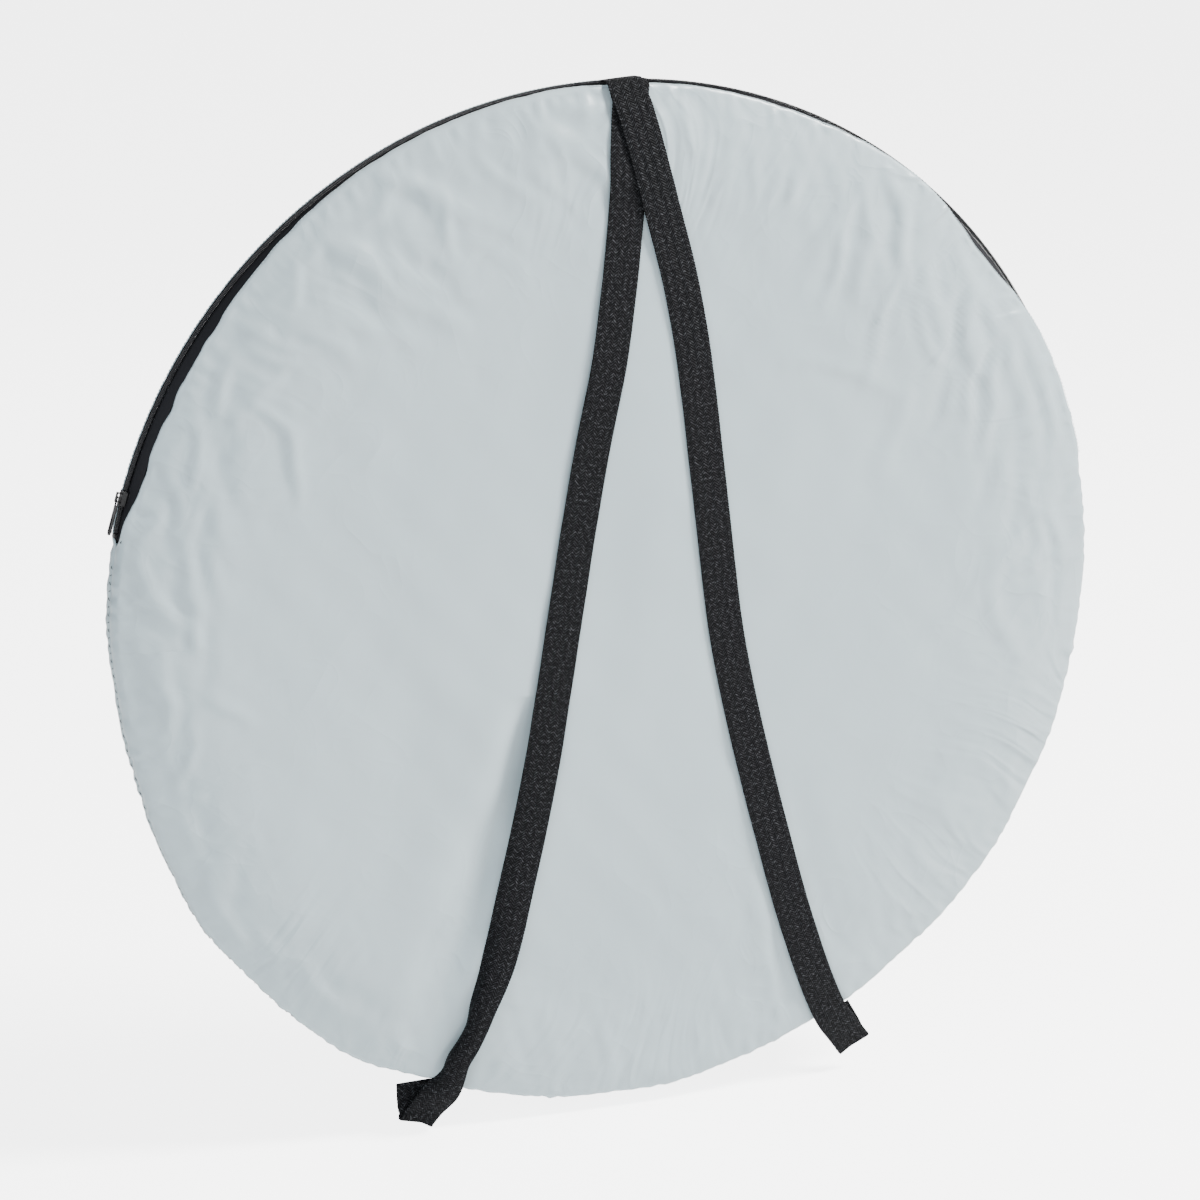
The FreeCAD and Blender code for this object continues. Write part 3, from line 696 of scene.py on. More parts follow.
@dataclass
class CarryBag:
    """The front and back panels and the stitches that join them."""

    disc: Disc
    blank: float = 864 * MM
    fold_reach: float = 7 * MM
    topstitch_radius: float = 418.75 * MM
    topstitch_depth: float = 12.1 * MM
    seam_radius: float = 418.7 * MM
    front: Panel = field(init=False)
    back: Panel = field(init=False)

    def __post_init__(self) -> None:
        """Lay out both panels."""
        self.front = Panel(self.disc, Side.FRONT, FRONT_CREASES, FRONT_GATHERS, seed=3)
        self.back = Panel(self.disc, Side.BACK, BACK_CREASES, BACK_GATHERS, seed=23)

    def build(self, fold_z: float) -> None:
        """Make the bag's cloth and threads.

        Args:
            fold_z: height of the line where the open back flap folds; not used.
        """
        front = self.front.build("front_panel_cloth", PANEL_CLOTH)
        finish_piece(front, PANEL_CLOTH, "bag", "front_panel")
        back = self.back.build("back_panel_cloth", PANEL_CLOTH)
        finish_piece(back, PANEL_CLOTH, "", "back_panel_lower", "back_panel_upper")
        fold_back(back)
        self.stitch_rows()

    def stitch_rows(self) -> None:
        """Sew the panels to the tapes and to each other."""
        disc = self.disc
        start, end = disc.zip_start + 0.5, disc.zip_end - 0.5
        for side in Side:
            y = side.value * self.topstitch_depth
            row = stitch_arc(disc, start, end, self.topstitch_radius, y, TOPSTITCH)
            word = side.name.lower()
            piece = make_object(f"{word}_topstitch", *row)
            finish_piece(piece, PALE_THREAD, "bag" if side is Side.FRONT else "", f"zip_thread_{word}")
            if side is Side.BACK:
                fold_back(piece)
        seam = stitch_arc(disc, disc.zip_end + 3, 368.5, self.seam_radius, 0, SEAM_STITCH)
        finish_piece(make_object("rim_seam_stitches", *seam), DARK_THREAD, "bag", "rim_seam_thread")


def stitch_arc(
    disc: Disc, first: float, last: float, radius: float, y: float, stitch: Stitch
) -> tuple[np.ndarray, np.ndarray]:
    """A row of stitches round part of the rim, each a thread that dips into the cloth at both ends.

    A row that leans is the plain seam's and follows the soft rim; the others follow the panels' edges.

    Args:
        disc: the disc they lie on.
        first: first angle in degrees.
        last: last angle in degrees.
        radius: radius of the row.
        y: depth of the row.
        stitch: the stitch's own sizes.

    Returns:
        Vertices and faces of all the stitches.
    """
    count = int(math.radians(last - first) * radius / stitch.pitch)
    angle = np.radians(np.linspace(first, last, count))
    turn = np.degrees(angle)
    side = Side.FRONT if y < 0 else Side.BACK
    drawn = disc.draw_in(turn) if y < 0 else 0
    high = disc.covered(turn, side)
    radius = radius + (disc.sag(turn) if stitch.lean else 1.75 * MM * high - drawn)
    y = y - np.sign(y) * (2.2 * MM * high)
    middle = disc.place(radius, angle, y)
    outward = np.stack([np.cos(angle), np.zeros(count), np.sin(angle)], -1)
    along = np.stack([-np.sin(angle), np.zeros(count), np.cos(angle)], -1)
    tilt = math.radians(stitch.lean) * np.where(np.arange(count) % 2, 1, -1)
    way = along * np.cos(tilt)[:, None] + np.array([0, 1, 0]) * np.sin(tilt)[:, None]
    sideways = np.cross(outward, way)
    rings, sides = 5, 6
    t = np.linspace(-1, 1, rings)
    girth = stitch.thread * np.sqrt(np.clip(1 - t**4, 0.05, 1))
    lift = stitch.thread * (1.6 * (1 - t**2) - 0.8)
    turn = np.arange(sides) / sides * TAU
    ring = girth[:, None] * np.cos(turn), girth[:, None] * np.sin(turn)
    points = (
        middle[:, None, None]
        + way[:, None, None] * (t * stitch.length / 2)[None, :, None, None]
        + outward[:, None, None] * (lift[:, None] + ring[1])[None, ..., None]
        + sideways[:, None, None] * ring[0][None, ..., None]
    )
    caps = [[0, 5, 4, 1], [1, 4, 3, 2], [24, 25, 28, 29], [25, 26, 27, 28]]
    faces = np.concatenate([grid_faces(rings, sides, False, True), caps])
    numbers = np.arange(count)[:, None, None] * rings * sides
    return points.reshape(-1, 3), (faces[None] + numbers).reshape(-1, 4)


# ------------------------------------------------------------------ the zip


@dataclass
class Zip:
    """Tapes and coils on the rim."""

    disc: Disc
    tape_radius: float = 417.9 * MM
    tape_edge: float = 0.5 * MM
    tape_far_edge: float = 12.0 * MM
    tape_cloth: float = 0.6 * MM
    coil_radius: float = 419.55 * MM
    coil_wide: float = 1.45 * MM
    coil_high: float = 1.0 * MM
    wire: float = 0.32 * MM
    pitch: float = 1.28 * MM
    fold_reach: float = 5 * MM

    @property
    def tape_width(self) -> float:
        """Width of one tape."""
        return self.tape_far_edge - self.tape_edge

    def tape(self, side: Side) -> tuple[np.ndarray, np.ndarray, np.ndarray]:
        """A tape: a flat strip carried round the zip's arc, with a slightly thicker cord at its near edge."""
        disc = self.disc
        turn = np.linspace(disc.zip_start, disc.zip_end, 640)
        angle = np.radians(turn)
        middle = side.value * (self.tape_edge + self.tape_far_edge) / 2
        slope = disc.draw_in(turn) * 0.9 if side is Side.FRONT else np.zeros_like(turn)
        slope = np.convolve(np.pad(slope, 12, "edge"), np.ones(25) / 25, "valid")
        centres = disc.place(self.tape_radius - slope / 2, angle, middle)
        outward = np.stack([np.cos(angle), np.zeros_like(angle), np.sin(angle)], -1)
        lean = slope / self.tape_width
        back = np.array([0.0, 1.0, 0.0])
        across = unit(back + outward * lean[:, None])
        out = unit(outward - back * lean[:, None])
        section = flat_section(self.tape_width, self.tape_cloth, 20)
        points, faces = carry(centres, across, out, section)
        reach = (np.arctan2(points[:, 2] - disc.centre_z, points[:, 0]) % TAU) * self.tape_radius
        return points, faces, np.stack([points[:, 1], reach], -1)

    def coil(self, side: Side) -> tuple[np.ndarray, np.ndarray]:
        """A row of teeth: one wire wound as a flat helix round the zip's arc.

        The wire's centre is at depth y0 + w cos(turn) and radius r0 + k sin(turn), one turn to each pitch.
        """
        disc = self.disc
        first, last = math.radians(disc.zip_start + 0.7), math.radians(disc.zip_end - 0.7)
        turns = int((last - first) * self.coil_radius / self.pitch)
        steps = 10
        run = np.arange(turns * steps + 1) / steps + (0.5 if side is Side.BACK else 0.0)
        angle = first + (last - first) * run / (turns + 0.5)
        phase = run * TAU
        y = side.value * (1.32 * MM + self.coil_wide * np.cos(phase))
        radius = self.coil_radius + self.coil_high * np.sin(phase)
        centres = disc.place(radius, angle, y)
        along = unit(np.gradient(centres, axis=0))
        rim_way = np.stack([-np.sin(angle), np.zeros_like(angle), np.cos(angle)], -1)
        across = unit(rim_way - (rim_way * along).sum(-1, keepdims=True) * along)
        out = np.cross(along, across)
        turn = np.arange(4) / 4 * TAU + math.pi / 4
        section = self.wire * np.stack([np.cos(turn), np.sin(turn)], -1)
        return carry(centres, across, out, section)

    def build(self, fold_z: float) -> None:
        """Make both tapes and both coils, and dress them."""
        for side in Side:
            word = side.name.lower()
            tape = make_object(f"zip_tape_{word}_weave", *self.tape(side))
            coil = make_object(f"zip_teeth_{word}", *self.coil(side))
            if side is Side.FRONT:
                finish_piece(tape, ZIP_TAPE, "bag", "zip_tape_front")
                finish_piece(coil, ZIP_TEETH, "bag", "zip_coil_front")
            else:
                finish_piece(tape, ZIP_TAPE, "", "zip_tape_back", "zip_tape_back_ends")
                finish_piece(coil, ZIP_TEETH, "", "zip_coil_back", "zip_coil_back_ends")
                fold_back(tape)
                fold_back(coil)


# ------------------------------------------------------------------ the shoulder straps


@dataclass
class Strap:
    """A shoulder strap of ribbed webbing: over the rim, down the front panel and back in a loop.

    route holds x, z and the lift off the cloth; crown holds x, y and z; loop holds x and z of where the
    strap leaves the rim, of its tip and of its sewn end; tuck holds z and the share folded under. All are
    in millimetres about the disc's centre.
    """

    name: str
    node: str
    panel: Panel
    route: tuple[Row, ...]
    crown: tuple[Row, ...]
    loop: tuple[tuple[float, float], tuple[float, float], tuple[float, float]]
    tuck: tuple[tuple[float, float], ...] = ()
    width: float = 30 * MM
    thickness: float = 1.6 * MM
    rib: float = 2.4 * MM
    step: float = 0.6 * MM
    rim_way: Row = (0.997, 0.0, 0.07)

    def surface(self, x: np.ndarray, z: np.ndarray) -> np.ndarray:
        """How far in front of the mid-plane the front panel lies under the strap."""
        return self.panel.disc.depth(np.hypot(x, z)) + self.panel.relief(x, z)

    def loop_line(self) -> np.ndarray:
        """Points of the end loop: out past the rim, round the tip and back to the sewn end."""
        rim, tip, root = (np.array((x, 0.0, z)) * MM for x, z in self.loop)
        out = tip - rim
        step = unit(out) * MM
        depth = np.array([0.0, -MM, 0.0])
        return np.array(
            [
                rim + depth * 15.0,
                rim + out * 0.35 + depth * 11.5,
                rim + out * 0.7 + depth * 7.4,
                tip - step * 2.4 + depth * 5.0,
                tip - step * 0.7 + depth * 4.6,
                tip + depth * 3.4,
                tip - step * 0.7 + depth * 2.2,
                tip - step * 2.4 + depth * 1.8,
                (tip + root) / 2 + depth * 1.7,
                root + depth * 1.5,
            ]
        )

    def centre_line(self) -> tuple[np.ndarray, int]:
        """The strap's middle, and the sample at which it leaves the panel."""
        places = np.array([(x, 0.0, z) for x, z, _ in self.route]) * MM
        lifts = np.array([lift for _, _, lift in self.route]) * MM
        line = rounded_path(places, self.step)
        run = np.concatenate([[0.0], np.cumsum(np.linalg.norm(np.diff(places, axis=0), axis=1))])
        here = np.linspace(0, run[-1], len(line))
        lift = np.interp(here, run, lifts)
        way = unit(np.gradient(line, axis=0))
        side = np.stack([-way[:, 2], way[:, 0]], -1)
        reach = np.linspace(-0.48, 0.48, 7) * self.width
        under = self.surface(line[:, :1] + side[:, :1] * reach, line[:, 2:] + side[:, 1:] * reach).max(1)
        taut = np.maximum(eased(under, 101), under)
        line[:, 1] = -(taut + 0.4 * MM + self.thickness / 2 + lift)
        front = np.concatenate([np.array(self.crown) * MM, line[:: int(14 * MM / self.step)]])
        whole = rounded_path(np.concatenate([front, self.loop_line()]), self.step)
        leaves = int(np.linalg.norm(np.diff(front, axis=0), axis=1).sum() / self.step)
        return whole + np.array([0, 0, self.panel.disc.centre_z]), leaves

    def tucked(self, height: np.ndarray) -> np.ndarray:
        """How far the strap is folded lengthwise, 0 to 1, by height above the disc's centre."""
        if not self.tuck:
            return np.zeros_like(height)
        places, shares = np.array(self.tuck[::-1]).T
        return eased(np.interp(height, places * MM, shares), 33)

    def folded(self, section: np.ndarray, share: np.ndarray) -> np.ndarray:
        """The section with its left part rolled under towards the panel.

        Past the bend's start the mid-line follows an arc of a fixed length whose total turn is the share
        of a full fold's 165 degrees, then runs straight on; each point keeps its distance from it.

        Args:
            section: outline points, as (stations, points, 2).
            share: how far each station is folded, 0 to 1.

        Returns:
            The folded outline.
        """
        start, length = 1.5 * MM, 6.0 * MM
        turn = np.radians(165) * np.maximum(share, 1e-4)[:, None]
        u, v = section[..., 0], section[..., 1]
        angle = turn * np.clip((start - u) / length, 0, 1)
        radius = length / turn
        past = np.maximum(start - length - u, 0)
        along = np.where(u > start, u, start - radius * np.sin(angle) - past * np.cos(turn))
        under = -radius * (1 - np.cos(angle)) - past * np.sin(turn)
        return np.stack([along - v * np.sin(angle), under + v * np.cos(angle)], -1)

    def widths(self, way: np.ndarray, height: np.ndarray, leaves: int) -> np.ndarray:
        """Unit directions across the strap: level on the panel, along the rim at its top.

        Args:
            way: unit direction of each sample of the centre line.
            height: height of each sample above the disc's centre.
            leaves: the sample at which the strap leaves the panel; its loop keeps the direction there.

        Returns:
            One direction for each sample, square to the centre line.
        """
        across = unit(np.stack([-way[:, 2], np.zeros(len(way)), way[:, 0]], -1))
        top = int(np.argmax(height < 410 * MM))
        across[:top] = across[top]
        across[across[:, 0] < 0] *= -1
        turned = smooth_step(396 * MM, 412 * MM, height)[:, None]
        across = unit(across * (1 - turned) + np.array(self.rim_way) * turned)
        across[leaves + 10 :] = across[leaves + 10]
        smooth = np.stack([eased(column, 41) for column in across.T], -1)
        return unit(smooth - (smooth * way).sum(-1, keepdims=True) * way)

    def build(self) -> Piece:
        """Carry a ribbed section along the strap and dress it."""
        line, leaves = self.centre_line()
        count = len(line)
        way = unit(np.gradient(line, axis=0))
        height = line[:, 2] - self.panel.disc.centre_z
        across = self.widths(way, height, leaves)
        out = unit(np.cross(way, across))
        if out[count // 2, 1] > 0:
            out = -out
        tucked = self.tucked(height)
        tucked *= 1 - smooth_step(leaves + 20, leaves + 95, np.arange(count))
        run = np.arange(count) * self.step
        wave = np.sin(run * TAU / self.rib)
        section = np.repeat(flat_section(self.width, self.thickness, 26)[None], count, 0)
        edge = np.abs(section[..., 0]) / (self.width / 2)
        section[..., 0] += np.sign(section[..., 0]) * (edge > 0.9) * (0.16 * MM * wave)[:, None]
        section[..., 1] *= 1 + 0.1 * wave[:, None] * np.cos(section[..., 0] * TAU / (7.5 * MM))
        uv = np.stack([section[..., 0], np.broadcast_to(run[:, None], section.shape[:2])], -1).reshape(-1, 2)
        shape = self.folded(section, tucked)
        shape[..., 0] -= (shape[..., 0].max(1) + shape[..., 0].min(1))[:, None] / 2
        drop = eased(np.maximum(0.82 * (-shape[..., 1].min(1) - self.thickness / 2), 0), 31)
        line = line - np.array([0, 1, 0]) * drop[:, None]
        points, faces = carry(line, across, out, shape)
        piece = make_object(self.name, points, faces, uv)
        recalculate(piece)
        finish_piece(piece, WEBBING, "bag", self.node)
        return piece


# Where each strap comes over the rim: x, y and z. Then its route: x, z and the lift off the cloth.
LEFT_CROWN = (
    (10, -2.8, 419.6), (10, -6.0, 419.7), (9.8, -9.5, 420.0), (9.6, -12.4, 419.6),
    (9.3, -14.6, 417.3), (8.6, -15.9, 413.0),
)  # fmt: skip
RIGHT_CROWN = (
    (3.0, -1.6, 421.5), (3.0, -5.0, 421.7), (3.1, -9.0, 422.0), (3.4, -12.8, 421.9),
    (4.0, -15.6, 420.3), (4.8, -17.4, 416.6), (6.0, -18.5, 411.6),
)  # fmt: skip
LEFT_ROUTE = (
    (7, 405, 0.0), (4, 378, 0.0), (1, 318, 0.0), (-6, 256, 0.2),
    (-15, 195, 0.4), (-28, 132, 0.6), (-39, 70, 0.6), (-49, 7, 0.8),
    (-60, -56, 1.2), (-72, -120, 1.8), (-86, -184, 2.0), (-98, -235, 1.0),
    (-110.5, -283, 0.4), (-123.5, -318, 0.2), (-133.5, -345, 0.2), (-146, -368, 0.4),
)  # fmt: skip
RIGHT_ROUTE = (
    (8.4, 404, 2.6), (15, 380, 2.4), (26, 337, 2.4), (38, 295, 1.2),
    (53, 231, 0.3), (63, 168, 0.2), (71, 103, 0.2), (79, 38, 0.3),
    (88.5, -28, 0.4), (102, -95, 0.6), (118.5, -163, 1.0), (137, -232, 1.4),
    (151, -279, 1.6), (167, -324, 1.4), (182, -358, 1.0),
)  # fmt: skip


# Where each strap leaves the rim, its tip and its sewn end: x and z.
LEFT_LOOP = ((-150, -388), (-173, -422), (-174, -388))
RIGHT_LOOP = ((193, -377), (217, -407), (199, -376))
# How far the left strap is folded lengthwise: z and the share.
LEFT_TUCK = (
    (-60, 0.0), (-150, 0.06), (-235, 0.13), (-285, 0.28), (-318, 0.5),
    (-340, 0.66), (-358, 0.64), (-384, 0.6), (-420, 0.5),
)  # fmt: skip


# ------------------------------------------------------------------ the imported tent


@dataclass
class PackedTent:
    """The folded tent that shows when the back flap is open."""

    disc: Disc
    cover: Panel

    def layers(
        self, name: str, node: str, finish: "Finish", cells: int, seed: int, flat_side: float
    ) -> None:
        """A round pile of folded cloth: two creased faces joined by a rounded, layered edge.

        Args:
            name: the piece's name.
            node: the CAD node that it stands for and takes its size from.
            finish: its cloth.
            cells: cells along each side of the mapped square.
            seed: fixes the folds.
            flat_side: side of the square of cloth that it is folded from.
        """
        low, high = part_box(node)
        radius, centre_y = (high.x - low.x) / 2, (high.y + low.y) / 2
        half = (high.y - low.y) / 2
        ux, uz, quads, rim = concentric(cells)
        edge = half * 0.9
        x, z = ux * (radius - edge), uz * (radius - edge)
        rng = np.random.default_rng(seed)
        folds = [self.long_fold(rng, radius / MM) for _ in range(26)]
        faces, points, rims = [], [], []
        for sign in (-1, 1):
            height = half * 0.86 + 0.5 * MM * ripples(x, z, seed + sign, 60 * MM, 200 * MM, 8)
            height = height + sum(fold.relief(x, z * sign) for fold in folds[::sign]) * 0.6
            height = np.minimum(height, half * 1.1)
            if centre_y - half < -15 * MM and sign < 0:
                inside = self.disc.depth(np.hypot(x, z)) + self.cover.relief(x, z) - 1.3 * MM
                height = np.minimum(height, centre_y + inside)
            start = sum(len(p) for p in points)
            points.append(np.stack([x, centre_y + sign * height, self.disc.centre_z + z], -1))
            faces.append((quads if sign > 0 else quads[:, ::-1]) + start)
            rims.append(rim + start)
        rim_height = [np.abs(points[0][rim, 1] - centre_y), np.abs(points[1][rim, 1] - centre_y)]
        angle = np.arctan2(z[rim], x[rim])
        rows = 11
        ring = len(rim)
        start = sum(len(p) for p in points)
        for row in range(1, rows):
            turn = math.pi * row / rows - math.pi / 2
            tall = rim_height[0] if turn < 0 else rim_height[1]
            wander = ripples(x[rim], z[rim], seed + 9, 80 * MM, 200 * MM, 5)
            layer = 0.7 * MM * np.sin(turn * 9 + wander * 2)
            reach = radius - edge + edge * math.cos(turn) + layer * math.cos(turn)
            points.append(self.disc.place(reach, angle, centre_y + tall * math.sin(turn)))
        edge_loops = start + np.arange((rows - 1) * ring).reshape(-1, ring)
        loops = np.concatenate([rims[0][None], edge_loops, rims[1][None]])
        beside = np.roll(loops, -1, axis=1)
        faces.append(np.stack([loops[:-1], beside[:-1], beside[1:], loops[1:]], -1).reshape(-1, 4))
        every = np.concatenate(points)
        piece = make_object(name, every, np.concatenate(faces), every[:, (0, 2)])
        recalculate(piece)
        finish_piece(piece, finish, "bag", node)
        log.info("%s is folded from a %.1f m square", name, flat_side)

    @staticmethod
    def long_fold(rng: np.random.Generator, radius: float) -> Crease:
        """A long random fold across a pile of cloth."""
        turn, spread = rng.uniform(0, TAU), rng.uniform(0.6, 2.4)
        reach = radius * rng.uniform(0.5, 0.93)
        start = (reach * math.cos(turn), reach * math.sin(turn))
        end = (reach * math.cos(turn + spread), reach * math.sin(turn + spread))
        middle = ((start[0] + end[0]) * 0.42, (start[1] + end[1]) * 0.42)
        return Crease(start, middle, end, rng.uniform(0.8, 2.4) * rng.choice([-1, 1]), rng.uniform(5, 14))

    def sleeve(self) -> None:
        """The cloth tube round the hoops: a torus whose wall gathers in small random waves."""
        low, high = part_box("hoop_sleeve")
        tube = (high.y - low.y) / 2
        major = (high.x - low.x) / 2 - tube
        stations, sides = 700, 26
        around, along = np.meshgrid(np.arange(sides) / sides * TAU, np.arange(stations) / stations * TAU)
        twists = ((61, 1), (97, -1), (143, 2), (211, 0))
        gather = sum(np.sin(along * waves + around * twist + waves) for waves, twist in twists)
        wall = tube - 0.5 * MM + 0.16 * MM * gather
        points = self.disc.place(major + wall * np.cos(around), along, wall * np.sin(around)).reshape(-1, 3)
        uv = np.stack([around * tube, along * major], -1).reshape(-1, 2)
        piece = make_object("hoop_sleeve_cloth", points, grid_faces(stations, sides, True, True), uv)
        recalculate(piece)
        thicken(piece)
        finish_piece(piece, SLEEVE_CLOTH, "bag", "hoop_sleeve")

    def band(self) -> None:
        """The elastic band round the hoops at the bottom of the disc."""
        low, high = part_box("retaining_band")
        tube = (high.y - low.y) / 2
        sleeve_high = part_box("hoop_sleeve")[1]
        major = sleeve_high.x - sleeve_high.y
        half = (high.x - low.x) / 2 / major
        count, bottom = 40, -math.pi / 2
        around = np.arange(count) / count * TAU
        wall = tube - 0.6 * MM
        reach = major + wall * np.cos(around)
        centres = self.disc.place(reach, np.full(count, bottom), wall * np.sin(around))
        middle = self.disc.place(np.array([major]), np.array([bottom]), 0.0)[0]
        out = unit(centres - middle)
        across = np.broadcast_to(np.array([1.0, 0.0, 0.0]), out.shape)
        section = flat_section(2 * half * major, 1.1 * MM, 24)
        points, faces = carry(centres, across, out, section, closed=True)
        piece = make_object("retaining_band_elastic", points, faces, points[:, :2])
        recalculate(piece)
        finish_piece(piece, ELASTIC, "bag", "retaining_band")

    def pouch(self) -> None:
        """The peg pouch: a flat bag whose section is a superellipse, drawn in at both ends."""
        low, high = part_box("peg_pouch")
        middle = (low + high) / 2
        wide, thick = (high.x - low.x) / 2, (high.y - low.y) / 2
        count = 60
        t = np.linspace(0, 1, count)
        taper = np.sin(np.clip(t * math.pi, 0.08, math.pi - 0.08)) ** 0.25
        heights = low.z + (high.z - low.z) * t
        centres = np.stack([np.full(count, middle.x), np.full(count, middle.y), heights], -1)
        across = np.broadcast_to(np.array([1.0, 0.0, 0.0]), centres.shape)
        out = np.broadcast_to(np.array([0.0, 1.0, 0.0]), centres.shape)
        tapers = np.stack([np.full_like(taper, 0.97), taper], -1)
        section = flat_section(2 * wide, 2 * thick, 40)[None] * tapers[:, None]
        points, faces = carry(centres, across, out, section)
        piece = make_object("peg_pouch_cloth", points, faces, points[:, (0, 2)])
        recalculate(piece)
        finish_piece(piece, POUCH_CLOTH, "bag", "peg_pouch")

    def build(self) -> None:
        """Make the folded layers, the sleeve, the band and the pouch."""
        self.layers("canopy_layers", "canopy_fold", CANOPY_CLOTH, 110, 61, 2.4)
        self.layers("door_layers", "door_fold", MESH_CLOTH, 60, 71, 1.2)
        self.layers("groundsheet_layers", "groundsheet_fold", GROUNDSHEET_CLOTH, 120, 81, 2.0)
        self.sleeve()
        self.band()
        self.pouch()


def recalculate(piece: Piece) -> None:
    """Turn a closed piece's faces outwards."""
    work = bmesh.new()
    work.from_mesh(piece.data)
    bmesh.ops.recalc_face_normals(work, faces=work.faces)
    work.to_mesh(piece.data)
    work.free()


# ------------------------------------------------------------------ finishes

# The disc's centre is this far below the frame's origin, for patterns that run round the disc.
MIDDLE_DROP = 0.42


def new_group(name: str, inputs: dict[str, tuple[str, float]], outputs: dict[str, str]) -> Tree:
    """An empty shader node group with named sockets.

    Args:
        name: the group's name.
        inputs: socket name to its type and starting value.
        outputs: socket name to its type.

    Returns:
        The group, with its input and output nodes in place.
    """
    group = bpy.data.node_groups.new(name, "ShaderNodeTree")
    for word, (kind, value) in inputs.items():
        socket = group.interface.new_socket(word, in_out="INPUT", socket_type=kind)
        if kind == "NodeSocketFloat":
            socket.default_value = value
    for word, kind in outputs.items():
        group.interface.new_socket(word, in_out="OUTPUT", socket_type=kind)
    group.nodes.new("NodeGroupInput").name = "in"
    group.nodes.new("NodeGroupOutput").name = "out"
    return group


def feed(tree: Tree, socket: Socket, value: Feed) -> None:
    """Link an input to another node's output, or set it to a number, a colour or a vector."""
    if isinstance(value, Socket):
        tree.links.new(value, socket)
    else:
        socket.default_value = value


def add_node(tree: Tree, kind: str, inputs: dict[str | int, Feed]) -> bpy.types.Node:
    """A shader node with its inputs fed.

    Args:
        tree: the tree that it goes into.
        kind: the node's type, without ShaderNode in front.
        inputs: input name or number to an output, a number, a colour or a vector.

    Returns:
        The node.
    """
    node = tree.nodes.new(f"ShaderNode{kind}")
    for word, value in inputs.items():
        feed(tree, node.inputs[word], value)
    return node


def math_node(tree: Tree, operation: str, first: Feed, second: Feed = 0.0, third: Feed = 0.5) -> Socket:
    """A Math node fed by outputs or numbers; returns its output. Only MULTIPLY_ADD reads the third."""
    node = tree.nodes.new("ShaderNodeMath")
    node.operation = operation
    for socket, value in zip(node.inputs, (first, second, third)):
        feed(tree, socket, value)
    return node.outputs[0]


def noise_node(tree: Tree, vector: Socket, scale: float, detail: float, distortion: float = 0.0) -> Socket:
    """A Noise texture's value."""
    inputs = {"Vector": vector, "Scale": scale, "Detail": detail, "Distortion": distortion}
    return add_node(tree, "TexNoise", inputs).outputs[0]


def ramp_node(
    tree: Tree, value: Socket, ends: tuple[float, float], to: tuple[float, float], smooth: bool
) -> Socket:
    """A Map Range node: the value between two ends, mapped in a line or an S-curve to another range."""
    words = ("From Min", "From Max", "To Min", "To Max")
    node = add_node(tree, "MapRange", {"Value": value, **dict(zip(words, (*ends, *to)))})
    if smooth:
        node.interpolation_type = "SMOOTHSTEP"
    return node.outputs[0]


def group_node(tree: Tree, group: Tree, vector: Socket) -> bpy.types.Node:
    """A group in a material, fed with coordinates."""
    node = tree.nodes.new("ShaderNodeGroup")
    node.node_tree = group
    tree.links.new(vector, node.inputs["Vector"])
    return node


def put_out(group: Tree, word: str, value: Socket) -> None:
    """Link a value to one of a group's outputs."""
    group.links.new(value, group.nodes["out"].inputs[word])


@cache
def weave_group() -> Tree:
    """Plain weave: crossing threads of a pitch in metres, over and under in turn."""
    inputs = {"Vector": ("NodeSocketVector", 0.0), "Pitch": ("NodeSocketFloat", 0.0006)}
    group = new_group("plain_weave", inputs, {"Height": "NodeSocketFloat"})
    source = group.nodes["in"].outputs
    split = add_node(group, "SeparateXYZ", {0: source["Vector"]})
    turns = [math_node(group, "DIVIDE", split.outputs[k], source["Pitch"]) for k in (0, 1)]
    waves = [math_node(group, "SINE", math_node(group, "MULTIPLY", turn, math.pi)) for turn in turns]
    over = math_node(group, "MULTIPLY", waves[0], waves[1])
    put_out(group, "Height", math_node(group, "MULTIPLY_ADD", over, 0.5, 0.5))
    return group


@cache
def crumple_group() -> Tree:
    """Fine creases: the ridges of a warped noise, in patches, and stronger away from the middle."""
    group = new_group("crumple", {"Vector": ("NodeSocketVector", 0.0)}, {"Height": "NodeSocketFloat"})
    vector = group.nodes["in"].outputs["Vector"]
    total: Socket | float = 0.0
    for scale, share in ((11.0, 1.0), (26.0, 0.45)):
        noise = noise_node(group, vector, scale, 1.0, distortion=1.1)
        away = math_node(group, "ABSOLUTE", math_node(group, "SUBTRACT", noise, 0.5))
        near = math_node(group, "SUBTRACT", 1.0, math_node(group, "MINIMUM", away, 0.2))
        ridge = math_node(group, "POWER", near, 7.0)
        total = math_node(group, "ADD", math_node(group, "MULTIPLY", ridge, share), total)
    patches = noise_node(group, vector, 6.0, 1.0)
    away = group.nodes.new("ShaderNodeVectorMath")
    away.operation = "DISTANCE"
    feed(group, away.inputs[0], vector)
    feed(group, away.inputs[1], (0, -MIDDLE_DROP, 0))
    spread = ramp_node(group, away.outputs["Value"], (0.14, 0.38), (0.12, 1.0), smooth=False)
    mask = math_node(group, "MULTIPLY", math_node(group, "POWER", patches, 2.0), spread)
    put_out(group, "Height", math_node(group, "MULTIPLY", total, mask))
    return group


